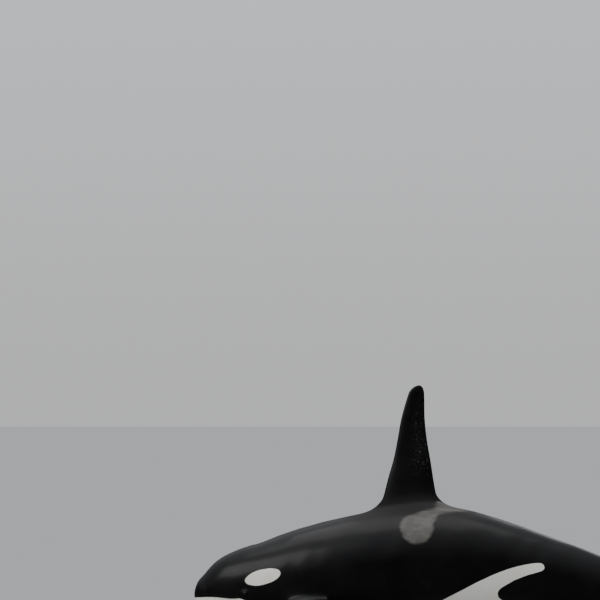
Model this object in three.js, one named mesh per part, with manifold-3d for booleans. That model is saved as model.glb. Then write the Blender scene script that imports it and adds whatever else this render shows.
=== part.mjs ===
// A full-grown male orca at life size, arched as it rolls at the surface, held up by a plain
// display stand. Millimetres, +Z up, the head towards -X and the left flank towards -Y.
// The origin is on the floor, at the middle of the stand's base.
import * as THREE from "three";
import { mergeVertices } from "three/addons/utils/BufferGeometryUtils.js";
import Module from "manifold-3d";

const wasm = await Module();
wasm.setup();

// Driving dimensions
const LENGTH = 7300; // snout to fluke notch, along the spine
const SPINE_HEIGHT = 1800; // top of the arched spine above the floor
const BALANCE = 43; // place along the spine that stands over the origin, in hundredths
const GAP = 0.3; // clearance between pieces that touch

// The body straightened out. Each row gives a place along the spine, the ridge's height above
// the spine, the keel's depth below it, the half width and the height of the widest line, all in
// hundredths of LENGTH, then the section's squareness (2 is an ellipse) and the spine's slope in
// degrees in the arched pose, where a positive slope rises towards the tail.
const STATIONS = [
  [0, 1.1, 2.6, 1.9, -1.0, 2.2, 10.5], // snout
  [2, 2.55, 3.6, 2.95, -1.0, 2.2, 10.2], // rostrum
  [5, 4.85, 5.2, 4.45, -0.9, 2.2, 9.8], // melon
  [9.5, 6.4, 6.7, 5.85, -0.8, 2.2, 9.3], // eye
  [14, 7.15, 7.8, 6.9, -0.7, 2.2, 8.4], // nape
  [20, 8.5, 8.9, 7.9, -0.6, 2.2, 7.2], // flippers
  [30, 9.85, 9.75, 8.5, -0.4, 2.15, 7.2], // ribs
  [38, 10.3, 9.95, 8.5, -0.2, 2.1, 6.2], // front of the dorsal fin
  [45, 10.4, 9.65, 8.15, 0, 2.1, 2.2], // back of the dorsal fin
  [51, 9.75, 9.1, 7.5, 0, 2.1, -5.5], // saddle
  [58, 8.55, 8.05, 6.5, 0, 2.0, -9.2], // loin
  [68, 6.95, 6.4, 4.8, 0, 1.9, -12.0], // vent
  [78, 5.6, 4.9, 3.2, 0, 1.8, -15.0], // tail stock
  [86, 4.6, 3.95, 2.25, 0, 1.75, -16.5],
  [92, 3.15, 2.75, 1.75, 0, 1.8, -16.5], // roots of the flukes
  [95.5, 1.55, 1.35, 1.2, 0, 1.9, -15.5],
  [98.4, 0.55, 0.48, 0.45, 0, 2.0, -14.5],
  [100, 0.2, 0.18, 0.18, 0, 2.0, -14.0], // notch
];
const TIP_LEVEL = -1.0; // height of the snout's tip, in hundredths of LENGTH
const SNOUT_ROUND = 1.6; // length of the rounding at the snout's tip
const TAIL_ROUND = 0.2; // and at the end of the tail stock

// Mouth: the angle of its line round the section from the ridge, how far back it runs, the depth
// of the groove, the height of each lip and how far the lower jaw is set in
const MOUTH = { back: 8.3, frontAngle: 92, backAngle: 106, groove: 16, lip: 15, overbite: 8 };

// Where the body is divided, and the steps round half a section above and below the mouth line
const CUT = { neck: 17, ribs: 30, loin: 53, stock: 74 };
const STEPS = { above: 9, below: 7 };

// Markings, as outlines in side view: [place along the spine, height] in hundredths of LENGTH
const WHITE_EDGE = [
  [8.8, -2.75], [11, -4.1], [14.5, -6.1], [19, -7.9], [25, -8.9], [33, -9.15], [40, -8.9],
  [45.5, -7.9], [50, -5.9], [54, -3.4], [58, -0.9], [62, 1.1], [65.5, 2.0], [66, 1.1],
  [63, -0.7], [60, -2.7], [58.2, -4.6], [58.8, -5.9], [62, -6.2], [66, -5.7], [70, -6.6],
];
const JAW_HINGE = [[8.6, -2.6], [9.5, -4.6], [9.8, -12]];
const SADDLE_EDGE = [
  [39.7, 7.0], [40.3, 8.1], [41.5, 8.8], [43.0, 9.3], [44.5, 9.7], [46.0, 10.05],
  [47.6, 12.5], [53, 12.5], [52.4, 10.1], [50.6, 9.65], [49, 9.35], [47.5, 9.05],
  [46.4, 8.5], [45.8, 7.7], [45.5, 6.7], [45.3, 5.4], [43.9, 3.7], [41.7, 3.6], [40.1, 5.0],
];
const EYE_PATCH = { at: 13.3, height: 0.75, long: 3.4, tall: 1.42, tilt: 6, depth: 345 };

// Eye and lids on the side of the head and the blowhole on its top, as half sizes in millimetres
const EYE = { at: 9.45, height: -1.75, long: 30, tall: 23, deep: 20, sunk: 4 };
const LID = {
  long: 68, tall: 45, deep: 26, sunk: 10, rim: 6.5, rimLong: 27, rimTall: 20, rimSunk: 5,
};
const BLOWHOLE = { at: 11.7, wide: 66, long: 40, plug: 36, deep: 34, sunk: 3 };

// Dorsal fin, seen from the side: [height, front edge, back edge] from its plumb line, and
// [height, thickness as a share of the chord]
const DORSAL = {
  at: 41,
  seat: 18, // its base line above the ridge
  edges: [
    [-200, -490, 425], [0, -425, 388], [300, -326, 329], [600, -232, 282],
    [900, -170, 231], [1200, -116, 201], [1450, -46, 197], [1640, 18, 190],
  ],
  round: 1530, // where the tip starts to round
  tip: 128, // the tip's place behind the plumb line
  thickness: [[-200, 0.15], [0, 0.14], [500, 0.125], [1200, 0.115], [1640, 0.12]],
  fillet: 170,
  sides: 0.42, // the fillet's width at the sides, as a share of that fore and aft
  sunk: 60,
  hold: 480, // how far out it follows the skin's shape
  levels: [300, 480, 680, 880, 1080, 1270, 1420, 1530, 1585, 1618, 1634],
};

// Flipper, seen square to its blade: [distance out, leading edge, trailing edge]
const FLIPPER = {
  at: 21,
  height: -4.4,
  edges: [
    [-200, -250, 215], [0, -255, 220], [300, -330, 280], [600, -415, 375],
    [900, -462, 455], [1200, -440, 482], [1450, -370, 455], [1700, -230, 340],
  ],
  round: 1100,
  tip: 70,
  thickness: [[-200, 0.3], [0, 0.27], [400, 0.17], [1000, 0.105], [1700, 0.085]],
  fillet: 80,
  sides: 1,
  sunk: 60,
  hold: 380,
  levels: [210, 380, 580, 780, 960, 1100, 1260, 1410, 1530, 1620, 1675, 1695],
  droop: 38, // degrees below level
  sweep: 28, // degrees back from square to the body
  pitch: 8, // degrees by which the leading edge is lower
};

// Fluke: [distance out from the middle, leading edge, trailing edge], back from the notch
const FLUKE = {
  edges: [
    [-200, -800, -50], [0, -745, -30], [90, -670, 35], [200, -612, 75], [350, -522, 100],
    [650, -300, 115], [900, -80, 150], [1060, 95, 208], [1150, 215, 262],
  ],
  round: 1010,
  tip: 240,
  thickness: [[-200, 0.22], [0, 0.21], [120, 0.19], [350, 0.145], [800, 0.11], [1150, 0.1]],
  fillet: 55,
  sides: 1,
  sunk: 40,
  hold: 450,
  levels: [130, 210, 320, 450, 600, 740, 860, 950, 1030, 1088, 1128, 1146],
  curl: 150, // how far the tips hang below the middle
  lift: 3, // degrees by which the blade rises from the line of the tail stock
  raise: 20, // its root above the spine
};

const STAND = {
  length: 3300, width: 1500, thick: 60, corner: 140, bevel: 8,
  rodsAt: { front: 26, rear: 60.5 }, // places along the spine
  rod: 48, // radius
  flange: 130, flangeHeight: 24, chamfer: 6,
  cradle: 150, cradleHeight: 95, cradleRim: 20, // its rim below the keel
  boss: 24, bossChamfer: 6, bossHeight: 8, // the cradle's foot, wider than the rod
};

// Colour, roughness and metalness
const FINISHES = {
  black: [0x0c0d10, 0.35, 0], white: [0xe6e5de, 0.4, 0], grey: [0x7b7877, 0.45, 0],
  eye: [0x140d08, 0.1, 0], steel: [0x3a3d41, 0.45, 0.8], base: [0x2b2d30, 0.6, 0],
};

const SIDES = { left: -1, right: 1 };
const FAR = 2 * LENGTH;
const PERCENT = LENGTH / 100;
const { clamp, degToRad, lerp, smoothstep } = THREE.MathUtils;
const vector = (x, y, z) => new THREE.Vector3(x, y, z);
const X = vector(1, 0, 0);
const Y = vector(0, 1, 0);
const Z = vector(0, 0, 1);

// Column k, at place x, of a smooth curve through the rows of a table whose first column rises
function smooth(rows, k, x) {
  const last = rows.length - 2;
  const step = (i) => rows[i + 1][0] - rows[i][0];
  const rise = (i) => (rows[i + 1][k] - rows[i][k]) / step(i);
  const tangent = (i) => {
    if (i === 0) return rise(0);
    if (i > last) return rise(last);
    return (rise(i - 1) * step(i) + rise(i) * step(i - 1)) / (step(i - 1) + step(i));
  };
  let i = 0;
  while (i < last && rows[i + 1][0] <= x) i++;
  const h = step(i);
  const t = (x - rows[i][0]) / h;
  const s = 1 - t;
  return (
    (1 + 2 * t) * s * s * rows[i][k] + t * s * s * h * tangent(i) +
    t * t * (3 - 2 * t) * rows[i + 1][k] - t * t * s * h * tangent(i + 1)
  );
}

// The arched spine, as points [X, Z] at even steps along it
const SPINE_STEPS = 400;
const SPINE_STEP = LENGTH / SPINE_STEPS;
const slopeAt = (x) => degToRad(smooth(STATIONS, 6, x / PERCENT));
const spine = [[0, 0]];
for (let i = 0; i < SPINE_STEPS; i++) {
  const slope = slopeAt((i + 0.5) * SPINE_STEP);
  const [px, pz] = spine[i];
  spine.push([px + Math.cos(slope) * SPINE_STEP, pz + Math.sin(slope) * SPINE_STEP]);
}

function spinePoint(x) {
  const i = clamp(Math.floor(x / SPINE_STEP), 0, SPINE_STEPS - 1);
  const t = x / SPINE_STEP - i;
  return [0, 1].map((k) => lerp(spine[i][k], spine[i + 1][k], t));
}
const BALANCE_X = spinePoint(BALANCE * PERCENT)[0];
const SPINE_LIFT = SPINE_HEIGHT - Math.max(...spine.map((p) => p[1]));

// Carries a point of the straight body into the arched pose, and back again.
function pose(x, y, z) {
  const [px, pz] = spinePoint(x);
  const slope = slopeAt(x);
  return vector(px - BALANCE_X - Math.sin(slope) * z, y, SPINE_LIFT + pz + Math.cos(slope) * z);
}

function unpose(p) {
  let x = p.x + BALANCE_X;
  let off = vector();
  for (let i = 0; i < 5; i++) {
    off = p.clone().sub(pose(x, 0, 0)).applyAxisAngle(Y, slopeAt(x));
    x = clamp(x + off.x, 0, LENGTH);
  }
  return [x, p.y, off.z];
}

// The section at a place along the spine, in millimetres, swollen by a few tenths where it cuts
// what the body carries
function section(x, swell = 0) {
  const at = x / PERCENT;
  const rounded = (run) => Math.sqrt(1 - (1 - clamp(run, 0, 1)) ** 2);
  const front = rounded(at / SNOUT_ROUND);
  const rear = rounded((100 - at) / TAIL_ROUND);
  const level = (v) => (TIP_LEVEL + (v - TIP_LEVEL) * front) * PERCENT * rear;
  return {
    top: level(smooth(STATIONS, 1, at)) + swell,
    bottom: level(-smooth(STATIONS, 2, at)) - swell,
    half: smooth(STATIONS, 3, at) * PERCENT * front * rear + swell,
    widest: level(smooth(STATIONS, 4, at)),
    square: smooth(STATIONS, 5, at),
  };
}

// How far out of its section's middle a point of the straight body lies, where 1 is the skin
function reach([x, y, z]) {
  const s = section(x);
  const tall = Math.abs((z > s.widest ? s.top : s.bottom) - s.widest);
  return Math.abs(y / s.half) ** s.square + Math.abs((z - s.widest) / tall) ** s.square;
}

// How far out to the side the skin is, at a place and height
function flank(x, z) {
  const s = section(x);
  return s.half * (1 - reach([x, 0, z])) ** (1 / s.square);
}

// How far along a line the skin lies, or 0 where the line doesn't start inside the body
function skinAlong(start, direction, from, to) {
  const at = (d) => reach(unpose(start.clone().addScaledVector(direction, d)));
  if (at(from) > 1) return 0;
  let [inside, outside] = [from, to];
  for (let i = 0; i < 24; i++) {
    const mid = (inside + outside) / 2;
    if (at(mid) < 1) inside = mid;
    else outside = mid;
  }
  return inside;
}

// The mouth line's angle at a place, and how open its groove is there
const mouthAngle = (at) => (
  degToRad(lerp(MOUTH.frontAngle, MOUTH.backAngle, smoothstep(at, 0, MOUTH.back)))
);
const mouthOpen = (at) => (
  smoothstep(at, 0, 0.6) * (1 - smoothstep(at, MOUTH.back - 1, MOUTH.back + 0.3))
);

// A point of the skin at an angle round the section from the ridge, moved in by a depth
function skin(x, angle, swell, depth) {
  const s = section(x, swell);
  const c = Math.cos(angle);
  const power = 2 / s.square;
  const y = s.half * Math.sin(angle) ** power;
  const z = ((c > 0 ? s.top : s.bottom) - s.widest) * Math.abs(c) ** power;
  const kept = 1 - Math.min(depth / (Math.hypot(y, z) || 1), 0.5);
  return [x, y * kept, s.widest + z * kept];
}

// The angles round half a section, each with its depth. The upper lip, the mouth line and the
// inset lower lip have rows of their own.
function sectionAngles(at, half) {
  const mid = mouthAngle(at);
  const open = mouthOpen(at);
  const near = lerp(degToRad(11), Math.min(MOUTH.lip / (half + 1), 0.35), open);
  const angles = [];
  for (let i = 0; i <= STEPS.above; i++) angles.push([((mid - near) * i) / STEPS.above, 0]);
  angles.push([mid, MOUTH.groove * open]);
  for (let i = 0; i <= STEPS.below; i++) {
    const angle = Math.min(mid + near + ((Math.PI - mid - near) * i) / STEPS.below, Math.PI);
    angles.push([angle, MOUTH.overbite * open]);
  }
  return angles;
}

function bodyRing(x, swell) {
  const angles = sectionAngles(x / PERCENT, section(x).half);
  const half = angles.map(([angle, depth]) => skin(x, angle, swell, depth));
  const other = half.slice(1, -1).reverse().map(([px, y, z]) => [px, -y, z]);
  return [...half, ...other].map((p) => pose(...p));
}

// A closed mesh through rings of equal count, each end closed by a fan to its middle. Both
// halves of a ring are split into triangles alike.
function loft(rings) {
  const n = rings[0].length;
  const middle = (ring) => (
    ring.reduce((sum, p) => sum.add(p), vector(0, 0, 0)).divideScalar(n)
  );
  const points = [...rings.flat(), middle(rings[0]), middle(rings.at(-1))];
  const first = rings.length * n;
  const faces = [];
  for (let j = 0; j < n; j++) {
    const k = (j + 1) % n;
    faces.push([first, k, j]);
    for (let i = 0; i < rings.length - 1; i++) {
      const [a, b, c, d] = [i * n + j, i * n + k, (i + 1) * n + k, (i + 1) * n + j];
      if (j < n / 2) faces.push([a, b, c], [a, c, d]);
      else faces.push([a, b, d], [b, c, d]);
    }
    faces.push([first + 1, first - n + j, first - n + k]);
  }
  return new THREE.BufferGeometry()
    .setAttribute("position", new THREE.Float32BufferAttribute(points.flatMap((p) => [...p]), 3))
    .setIndex(faces.flat());
}

// A solid from a closed mesh, with its faces turned outwards
function toSolid(geometry) {
  geometry.deleteAttribute("normal");
  geometry.deleteAttribute("uv");
  const merged = mergeVertices(geometry, 1e-3);
  const vertProperties = new Float32Array(merged.attributes.position.array);
  const triVerts = new Uint32Array(merged.index.array);
  const solid = new wasm.Manifold(new wasm.Mesh({ numProp: 3, vertProperties, triVerts }));
  if (solid.volume() > 0) return solid;
  return new wasm.Manifold(
    new wasm.Mesh({ numProp: 3, vertProperties, triVerts: triVerts.reverse() }),
  );
}

function toGeometry(solid) {
  const mesh = solid.getMesh();
  const geometry = new THREE.BufferGeometry()
    .setAttribute("position", new THREE.BufferAttribute(mesh.vertProperties, 3))
    .setIndex(new THREE.BufferAttribute(mesh.triVerts, 1));
  geometry.computeVertexNormals();
  return geometry;
}

// The largest of the closed surfaces that a cut leaves
const largest = (solid) => solid.decompose().reduce((a, b) => (b.volume() > a.volume() ? b : a));

const orca = new THREE.Group();

function add(name, finish, solid) {
  const [color, roughness, metalness] = FINISHES[finish];
  const material = new THREE.MeshStandardMaterial({ color, roughness, metalness });
  const mesh = new THREE.Mesh(toGeometry(solid), material);
  mesh.name = name;
  orca.add(mesh);
}

// Places that the body is lofted through, closer together on the head and at the tail's end
const PLACES = [
  0, 0.12, 0.45, 0.95, 1.6, 2.4, 3.3, 4.3, 5.3, 6.3, 7.2, 7.9, 8.7, 9.7, 11, 12.5, 14.5,
  CUT.neck, 19, 21.5, 24, 27, CUT.ribs, 33, 36, 39.5, 43, 46, 48.5, 51, CUT.loin, 56, 59.5,
  63.5, 68.5, CUT.stock, 78, 82, 85.5, 88.5, 91, 93, 95, 97, 98.4, 99.1, 99.6, 99.9, 100,
];
const POINT = 0.3; // how near the two tips of the body its end rings come

function bodyLength(from, to, swell = 0) {
  const places = PLACES.filter((at) => at >= from && at <= to).map((at) => at * PERCENT);
  places[0] += from > 0 ? GAP / 2 : POINT;
  places[places.length - 1] -= to < 100 ? GAP / 2 : POINT;
  return toSolid(loft(places.map((x) => bodyRing(x, swell))));
}

// An outline given in hundredths, as points [X, Z] of the arched pose
const posed = (outline) => outline.map(([at, height]) => {
  const p = pose(at * PERCENT, 0, height * PERCENT);
  return new THREE.Vector2(p.x, p.z);
});

// A smooth line through an outline's points
function curved(outline, count, closed = false) {
  const points = outline.map(([at, height]) => vector(at, height, 0));
  const curve = new THREE.CatmullRomCurve3(points, closed, "centripetal");
  const line = curve.getPoints(count).map((p) => [p.x, p.y]);
  return closed ? line.slice(0, -1) : line;
}

// Moves an outline's sides outwards by a distance.
function grow(points, by) {
  const turn = THREE.ShapeUtils.isClockWise(points) ? -by : by;
  const outward = (a, b) => new THREE.Vector2(b.y - a.y, a.x - b.x).normalize();
  return points.map((p, i) => {
    const after = outward(p, points[(i + 1) % points.length]);
    const out = outward(points.at(i - 1), p).add(after).normalize();
    return p.clone().addScaledVector(out, turn / Math.max(out.dot(after), 0.5));
  });
}

// A solid with that outline in side view, from one distance across the body to another
function prism(points, from, to) {
  const settings = { depth: to - from, bevelEnabled: false };
  const block = new THREE.ExtrudeGeometry(new THREE.Shape(points), settings);
  return toSolid(block.rotateX(Math.PI / 2).translate(0, to, 0));
}

// Divides a solid by an outline in side view, and leaves the clearance between the two pieces.
function divide(solid, points, from = -FAR, to = FAR) {
  return {
    inside: largest(solid.intersect(prism(points, from, to))),
    outside: largest(solid.subtract(prism(grow(points, GAP), from - GAP, to + GAP))),
  };
}

const DEEP = -20; // below the whole body, in hundredths
const mouthLine = PLACES.filter((at) => at > 0 && at < MOUTH.back).map((at) => {
  const [, , z] = skin(at * PERCENT, mouthAngle(at), 0, MOUTH.groove * mouthOpen(at));
  return [at, z / PERCENT];
});
const whiteOutline = posed([
  [-2, TIP_LEVEL], ...mouthLine, ...curved(WHITE_EDGE, 50), [70, DEEP], [-2, DEEP],
]);
const jawOutline = posed([[-4, 4], [8.6, 4], ...JAW_HINGE, [9.8, DEEP], [-4, DEEP]]);
const saddleOutline = posed(curved(SADDLE_EDGE, 36, true));

// The whole body, swollen by the clearance, cuts what grows from it or carries it.
const bodyCutter = bodyLength(0, 100, GAP);

// Head

// A frame on the skin: its axes point rearwards along it, out of it and across them.
function skinFrame(at, height, side) {
  const point = (x, z) => pose(x, side * flank(x, z), z);
  const [x, z] = [at * PERCENT, height * PERCENT];
  const place = point(x, z);
  const rear = point(x + 1, z).sub(place).normalize();
  const up = point(x, z + 1).sub(place);
  const out = up.cross(rear).multiplyScalar(side).normalize();
  return new THREE.Matrix4().makeBasis(rear, out, rear.clone().cross(out)).setPosition(place);
}

// An ellipsoid in such a frame, its middle sunk below the skin
function ellipsoid(frame, { long, tall, deep, sunk }, swell = 0) {
  const ball = new THREE.SphereGeometry(1, 18, 10).rotateX(Math.PI / 2);
  ball.scale(long + swell, deep + swell, tall + swell).translate(0, -sunk, 0);
  return toSolid(ball.applyMatrix4(frame));
}

// The rims of the lids, a ring round the opening that stands a little proud of the mound
function lidRim(frame) {
  const ring = new THREE.TorusGeometry(1, LID.rim / LID.rimLong, 6, 20).rotateX(Math.PI / 2);
  ring.scale(LID.rimLong, LID.rimLong, LID.rimTall);
  return toSolid(ring.translate(0, LID.deep - LID.sunk - LID.rimSunk, 0).applyMatrix4(frame));
}

function eyePatchOval(count = 26) {
  const tilt = degToRad(EYE_PATCH.tilt);
  return Array.from({ length: count }, (_, i) => {
    const turn = (2 * Math.PI * i) / count;
    const [a, b] = [EYE_PATCH.long * Math.cos(turn), EYE_PATCH.tall * Math.sin(turn)];
    return [
      EYE_PATCH.at + a * Math.cos(tilt) - b * Math.sin(tilt),
      EYE_PATCH.height + a * Math.sin(tilt) + b * Math.cos(tilt),
    ];
  });
}

// An oval peg across the ridge at the blowhole, from a depth up through the skin
function blowholeOval(long, wide, forward, depth) {
  const at = BLOWHOLE.at * PERCENT;
  const oval = new THREE.CylinderGeometry(1, 1, 1, 22).rotateX(Math.PI / 2);
  oval.scale(long, wide, 200).translate(-forward, 0, 100 - depth).rotateY(-slopeAt(at));
  return toSolid(oval.translate(...pose(at, 0, section(at).top)));
}

const headLength = divide(bodyLength(0, CUT.neck), whiteOutline);
const jaw = divide(headLength.inside, jawOutline);
add("lower_jaw", "white", jaw.inside);
add("throat", "white", jaw.outside);

let head = headLength.outside;
for (const [name, side] of Object.entries(SIDES)) {
  const [from, to] = side < 0 ? [-FAR, -EYE_PATCH.depth] : [EYE_PATCH.depth, FAR];
  const patch = divide(head, posed(eyePatchOval()), from, to);
  add(`eye_patch_${name}`, "white", patch.inside);

  const frame = skinFrame(EYE.at, EYE.height, side);
  head = patch.outside.add(ellipsoid(frame, LID)).add(lidRim(frame));
  head = head.subtract(ellipsoid(frame, EYE, GAP));
  add(`eye_${name}`, "eye", ellipsoid(frame, EYE));
}

// The blowhole's plug touches the front of its oval hole and leaves a crescent open behind it.
const { long, plug, wide, deep, sunk } = BLOWHOLE;
add("head", "black", largest(head.subtract(blowholeOval(long, wide, 0, deep))));
const insideHole = blowholeOval(long - GAP, wide - GAP, 0, deep - GAP);
const plugSolid = blowholeOval(plug, wide, long - plug, deep - GAP).intersect(insideHole);
add("blowhole", "black", largest(plugSolid.intersect(bodyLength(0, CUT.neck, -sunk))));

// Trunk and tail stock

const shoulders = divide(bodyLength(CUT.neck, CUT.ribs), whiteOutline);
add("shoulders", "black", shoulders.outside);
add("chest", "white", shoulders.inside);

const trunk = divide(bodyLength(CUT.ribs, CUT.loin), whiteOutline);
const saddle = divide(trunk.outside, saddleOutline);
add("back", "black", saddle.outside);
add("saddle_patch", "grey", saddle.inside);
add("belly", "white", trunk.inside);

const loin = divide(bodyLength(CUT.loin, CUT.stock), whiteOutline);
add("loin", "black", loin.outside);
add("flank_patch", "white", loin.inside);
add("tail_stock", "black", bodyLength(CUT.stock, 100));

// Fins

// Half the thickness of a symmetric aerofoil 1 thick, at a share of its chord
const aerofoil = (s) => 5 * (
  0.2969 * Math.sqrt(s) - 0.126 * s - 0.3516 * s ** 2 + 0.2843 * s ** 3 - 0.1036 * s ** 4
);

// A fin's section as points [back, sideways], spread at its root by the fillet
function finSection(fin, out, spread, count = 20) {
  const end = fin.edges.at(-1)[0];
  const run = clamp((out - fin.round) / (end - fin.round), 0, 1);
  const kept = Math.sqrt(1 - run * run);
  const [front, back] = [1, 2].map((k) => fin.tip + (smooth(fin.edges, k, out) - fin.tip) * kept);
  const thick = smooth(fin.thickness, 1, out) * (back - front);
  return Array.from({ length: count }, (_, i) => {
    const turn = (2 * Math.PI * i) / count;
    const share = (1 - Math.cos(turn)) / 2;
    const side = i % (count / 2) === 0 ? 0 : Math.sign(Math.sin(turn));
    return [
      lerp(front, back, share) - spread * Math.cos(turn),
      side * (thick * aerofoil(share) + spread * fin.sides * Math.abs(Math.sin(turn))),
    ];
  });
}

const ROOT_LIFT = 3; // the lowest ring's height over the skin

// A fin grown out of the body: rear is along its chord, side across its blade and out from root
// to tip. At the root its rings lie on the skin and flare into it.
function growFin(fin, { origin, rear, side, out, from, to, least = -FAR }) {
  const rootLevels = [0, 28, 50, 70, 90].map(degToRad).map((turn) => [
    fin.fillet * (1 - Math.cos(turn)) + ROOT_LIFT, fin.fillet * (1 - Math.sin(turn)),
  ]);
  const outer = fin.levels.map((level) => [level, 0]);
  const end = fin.edges.at(-1)[0];
  return toSolid(loft([[-fin.sunk, fin.fillet], ...rootLevels, ...outer].map(([level, spread]) => {
    const hold = 1 - smoothstep(level, fin.fillet, fin.hold);
    const bend = (fin.curl ?? 0) * (Math.max(level, 0) / end) ** 2;
    return finSection(fin, level, spread).map(([back, across]) => {
      const p = origin.clone().addScaledVector(rear, back).addScaledVector(side, across);
      const root = hold > 0 ? hold * skinAlong(p, out, from, to) : 0;
      return p.addScaledVector(out, Math.max(level + root, least)).addScaledVector(side, -bend);
    });
  })));
}

// The dorsal fin stands plumb, whatever the slope of the back.
const foot = pose(DORSAL.at * PERCENT, 0, 0);
const dorsal = growFin(DORSAL, {
  origin: vector(foot.x, 0, foot.z + skinAlong(foot, Z, 0, 2000) + DORSAL.seat),
  rear: X, side: Y, out: Z, from: -400, to: 200,
});
add("dorsal_fin", "black", largest(dorsal.subtract(bodyCutter)));

for (const [name, side] of Object.entries(SIDES)) {
  const at = FLIPPER.at * PERCENT;
  const level = FLIPPER.height * PERCENT;
  const [droop, sweep, pitch] = [FLIPPER.droop, FLIPPER.sweep, FLIPPER.pitch].map(degToRad);
  const out = vector(
    Math.sin(sweep) * Math.cos(droop), side * Math.cos(sweep) * Math.cos(droop), -Math.sin(droop),
  ).applyAxisAngle(Y, -slopeAt(at));
  const chord = vector(Math.cos(pitch), 0, Math.sin(pitch)).applyAxisAngle(Y, -slopeAt(at));
  const rear = chord.addScaledVector(out, -chord.dot(out)).normalize();
  const flipper = growFin(FLIPPER, {
    origin: pose(at, side * flank(at, level), level), rear, out,
    side: rear.clone().cross(out).multiplyScalar(side), from: -450, to: 400,
  });
  add(`flipper_${name}`, "black", largest(flipper.subtract(bodyCutter)));
}

for (const [name, side] of Object.entries(SIDES)) {
  const slope = slopeAt(LENGTH) + degToRad(FLUKE.lift);
  const fluke = growFin(FLUKE, {
    origin: pose(LENGTH, 0, FLUKE.raise), rear: X.clone().applyAxisAngle(Y, -slope),
    side: Z.clone().applyAxisAngle(Y, -slope), out: vector(0, side, 0),
    from: 0, to: 500, least: GAP,
  });
  add(`fluke_${name}`, "black", largest(fluke.subtract(bodyCutter)));
}

// Display stand

function roundedSlab() {
  const { length, width, thick, corner, bevel } = STAND;
  const [x, y, radius] = [length / 2 - corner, width / 2 - corner, corner - bevel];
  const shape = new THREE.Shape();
  [[x, y], [-x, y], [-x, -y], [x, -y]].forEach(([cx, cy], quarter) => {
    shape.absarc(cx, cy, radius, (quarter * Math.PI) / 2, ((quarter + 1) * Math.PI) / 2);
  });
  const slab = new THREE.ExtrudeGeometry(shape, {
    depth: thick - 2 * bevel, bevelSize: bevel, bevelThickness: bevel, bevelSegments: 1,
    curveSegments: 8,
  });
  return toSolid(slab.translate(0, 0, bevel));
}

// A turned piece on a plumb axis, from its profile [radius, height]
function turned(x, profile) {
  const points = profile.map(([radius, height]) => new THREE.Vector2(radius, height));
  return toSolid(new THREE.LatheGeometry(points, 24).rotateX(Math.PI / 2).translate(x, 0, 0));
}

add("stand_base", "base", roundedSlab());
for (const [name, place] of Object.entries(STAND.rodsAt)) {
  const { rod, thick, flange, flangeHeight, chamfer, cradle, cradleHeight } = STAND;
  const held = pose(place * PERCENT, 0, 0);
  const keel = held.z - skinAlong(held, vector(0, 0, -1), 0, 1500);
  const flangeTop = thick + GAP + flangeHeight;
  const cup = keel - cradleHeight;
  add(`stand_flange_${name}`, "steel", turned(held.x, [
    [0, thick + GAP], [flange, thick + GAP], [flange, flangeTop - chamfer],
    [flange - chamfer, flangeTop], [0, flangeTop],
  ]));
  add(`stand_rod_${name}`, "steel", turned(held.x, [
    [0, flangeTop + GAP], [rod, flangeTop + GAP], [rod, cup - GAP], [0, cup - GAP],
  ]));
  const bossEdge = rod + STAND.boss;
  const cupBlank = turned(held.x, [
    [0, cup], [bossEdge - STAND.bossChamfer, cup], [bossEdge, cup + STAND.bossHeight],
    [cradle, keel - STAND.cradleRim], [cradle, keel + cradle], [0, keel + cradle],
  ]);
  add(`stand_cradle_${name}`, "steel", largest(cupBlank.subtract(bodyCutter)));
}

export default orca;
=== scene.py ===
"""A life-size adult male orca, arched as it rolls at the surface, on a plain display stand.

Metres, +Z up, the head towards -X and the left flank towards -Y. One skin covers the whole
animal. It is a grid round a straight body that is carried into the arched pose, and each fin
grows out of a block of that grid.
"""

import math

import bpy
import numpy as np
from bpy.props import FloatProperty, FloatVectorProperty, PointerProperty
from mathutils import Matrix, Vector


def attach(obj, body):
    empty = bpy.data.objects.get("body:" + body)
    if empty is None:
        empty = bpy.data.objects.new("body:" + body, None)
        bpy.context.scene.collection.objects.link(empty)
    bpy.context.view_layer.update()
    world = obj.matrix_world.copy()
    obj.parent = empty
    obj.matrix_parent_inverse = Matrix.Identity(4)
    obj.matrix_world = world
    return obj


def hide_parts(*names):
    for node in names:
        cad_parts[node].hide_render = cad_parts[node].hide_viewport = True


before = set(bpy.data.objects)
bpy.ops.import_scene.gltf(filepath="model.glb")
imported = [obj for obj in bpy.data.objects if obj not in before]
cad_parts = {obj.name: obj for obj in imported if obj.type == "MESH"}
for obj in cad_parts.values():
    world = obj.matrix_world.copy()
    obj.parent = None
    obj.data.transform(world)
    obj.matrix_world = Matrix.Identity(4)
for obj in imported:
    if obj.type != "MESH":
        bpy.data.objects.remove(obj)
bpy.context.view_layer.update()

bl_info = {
    "name": "Orca on a display stand",
    "version": (1, 0, 0),
    "blender": (4, 5, 0),
    "location": "3D View > Sidebar > Orca",
    "description": "Builds a life-size orca, its eyes, its display stand and a studio stage",
    "category": "Add Mesh",
}

LENGTH = 7.3
PERCENT = LENGTH / 100
# Height of the spine's highest point, and the place along the spine that is over the base's middle
SPINE_HEIGHT = 1.8
BALANCE = 43

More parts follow.
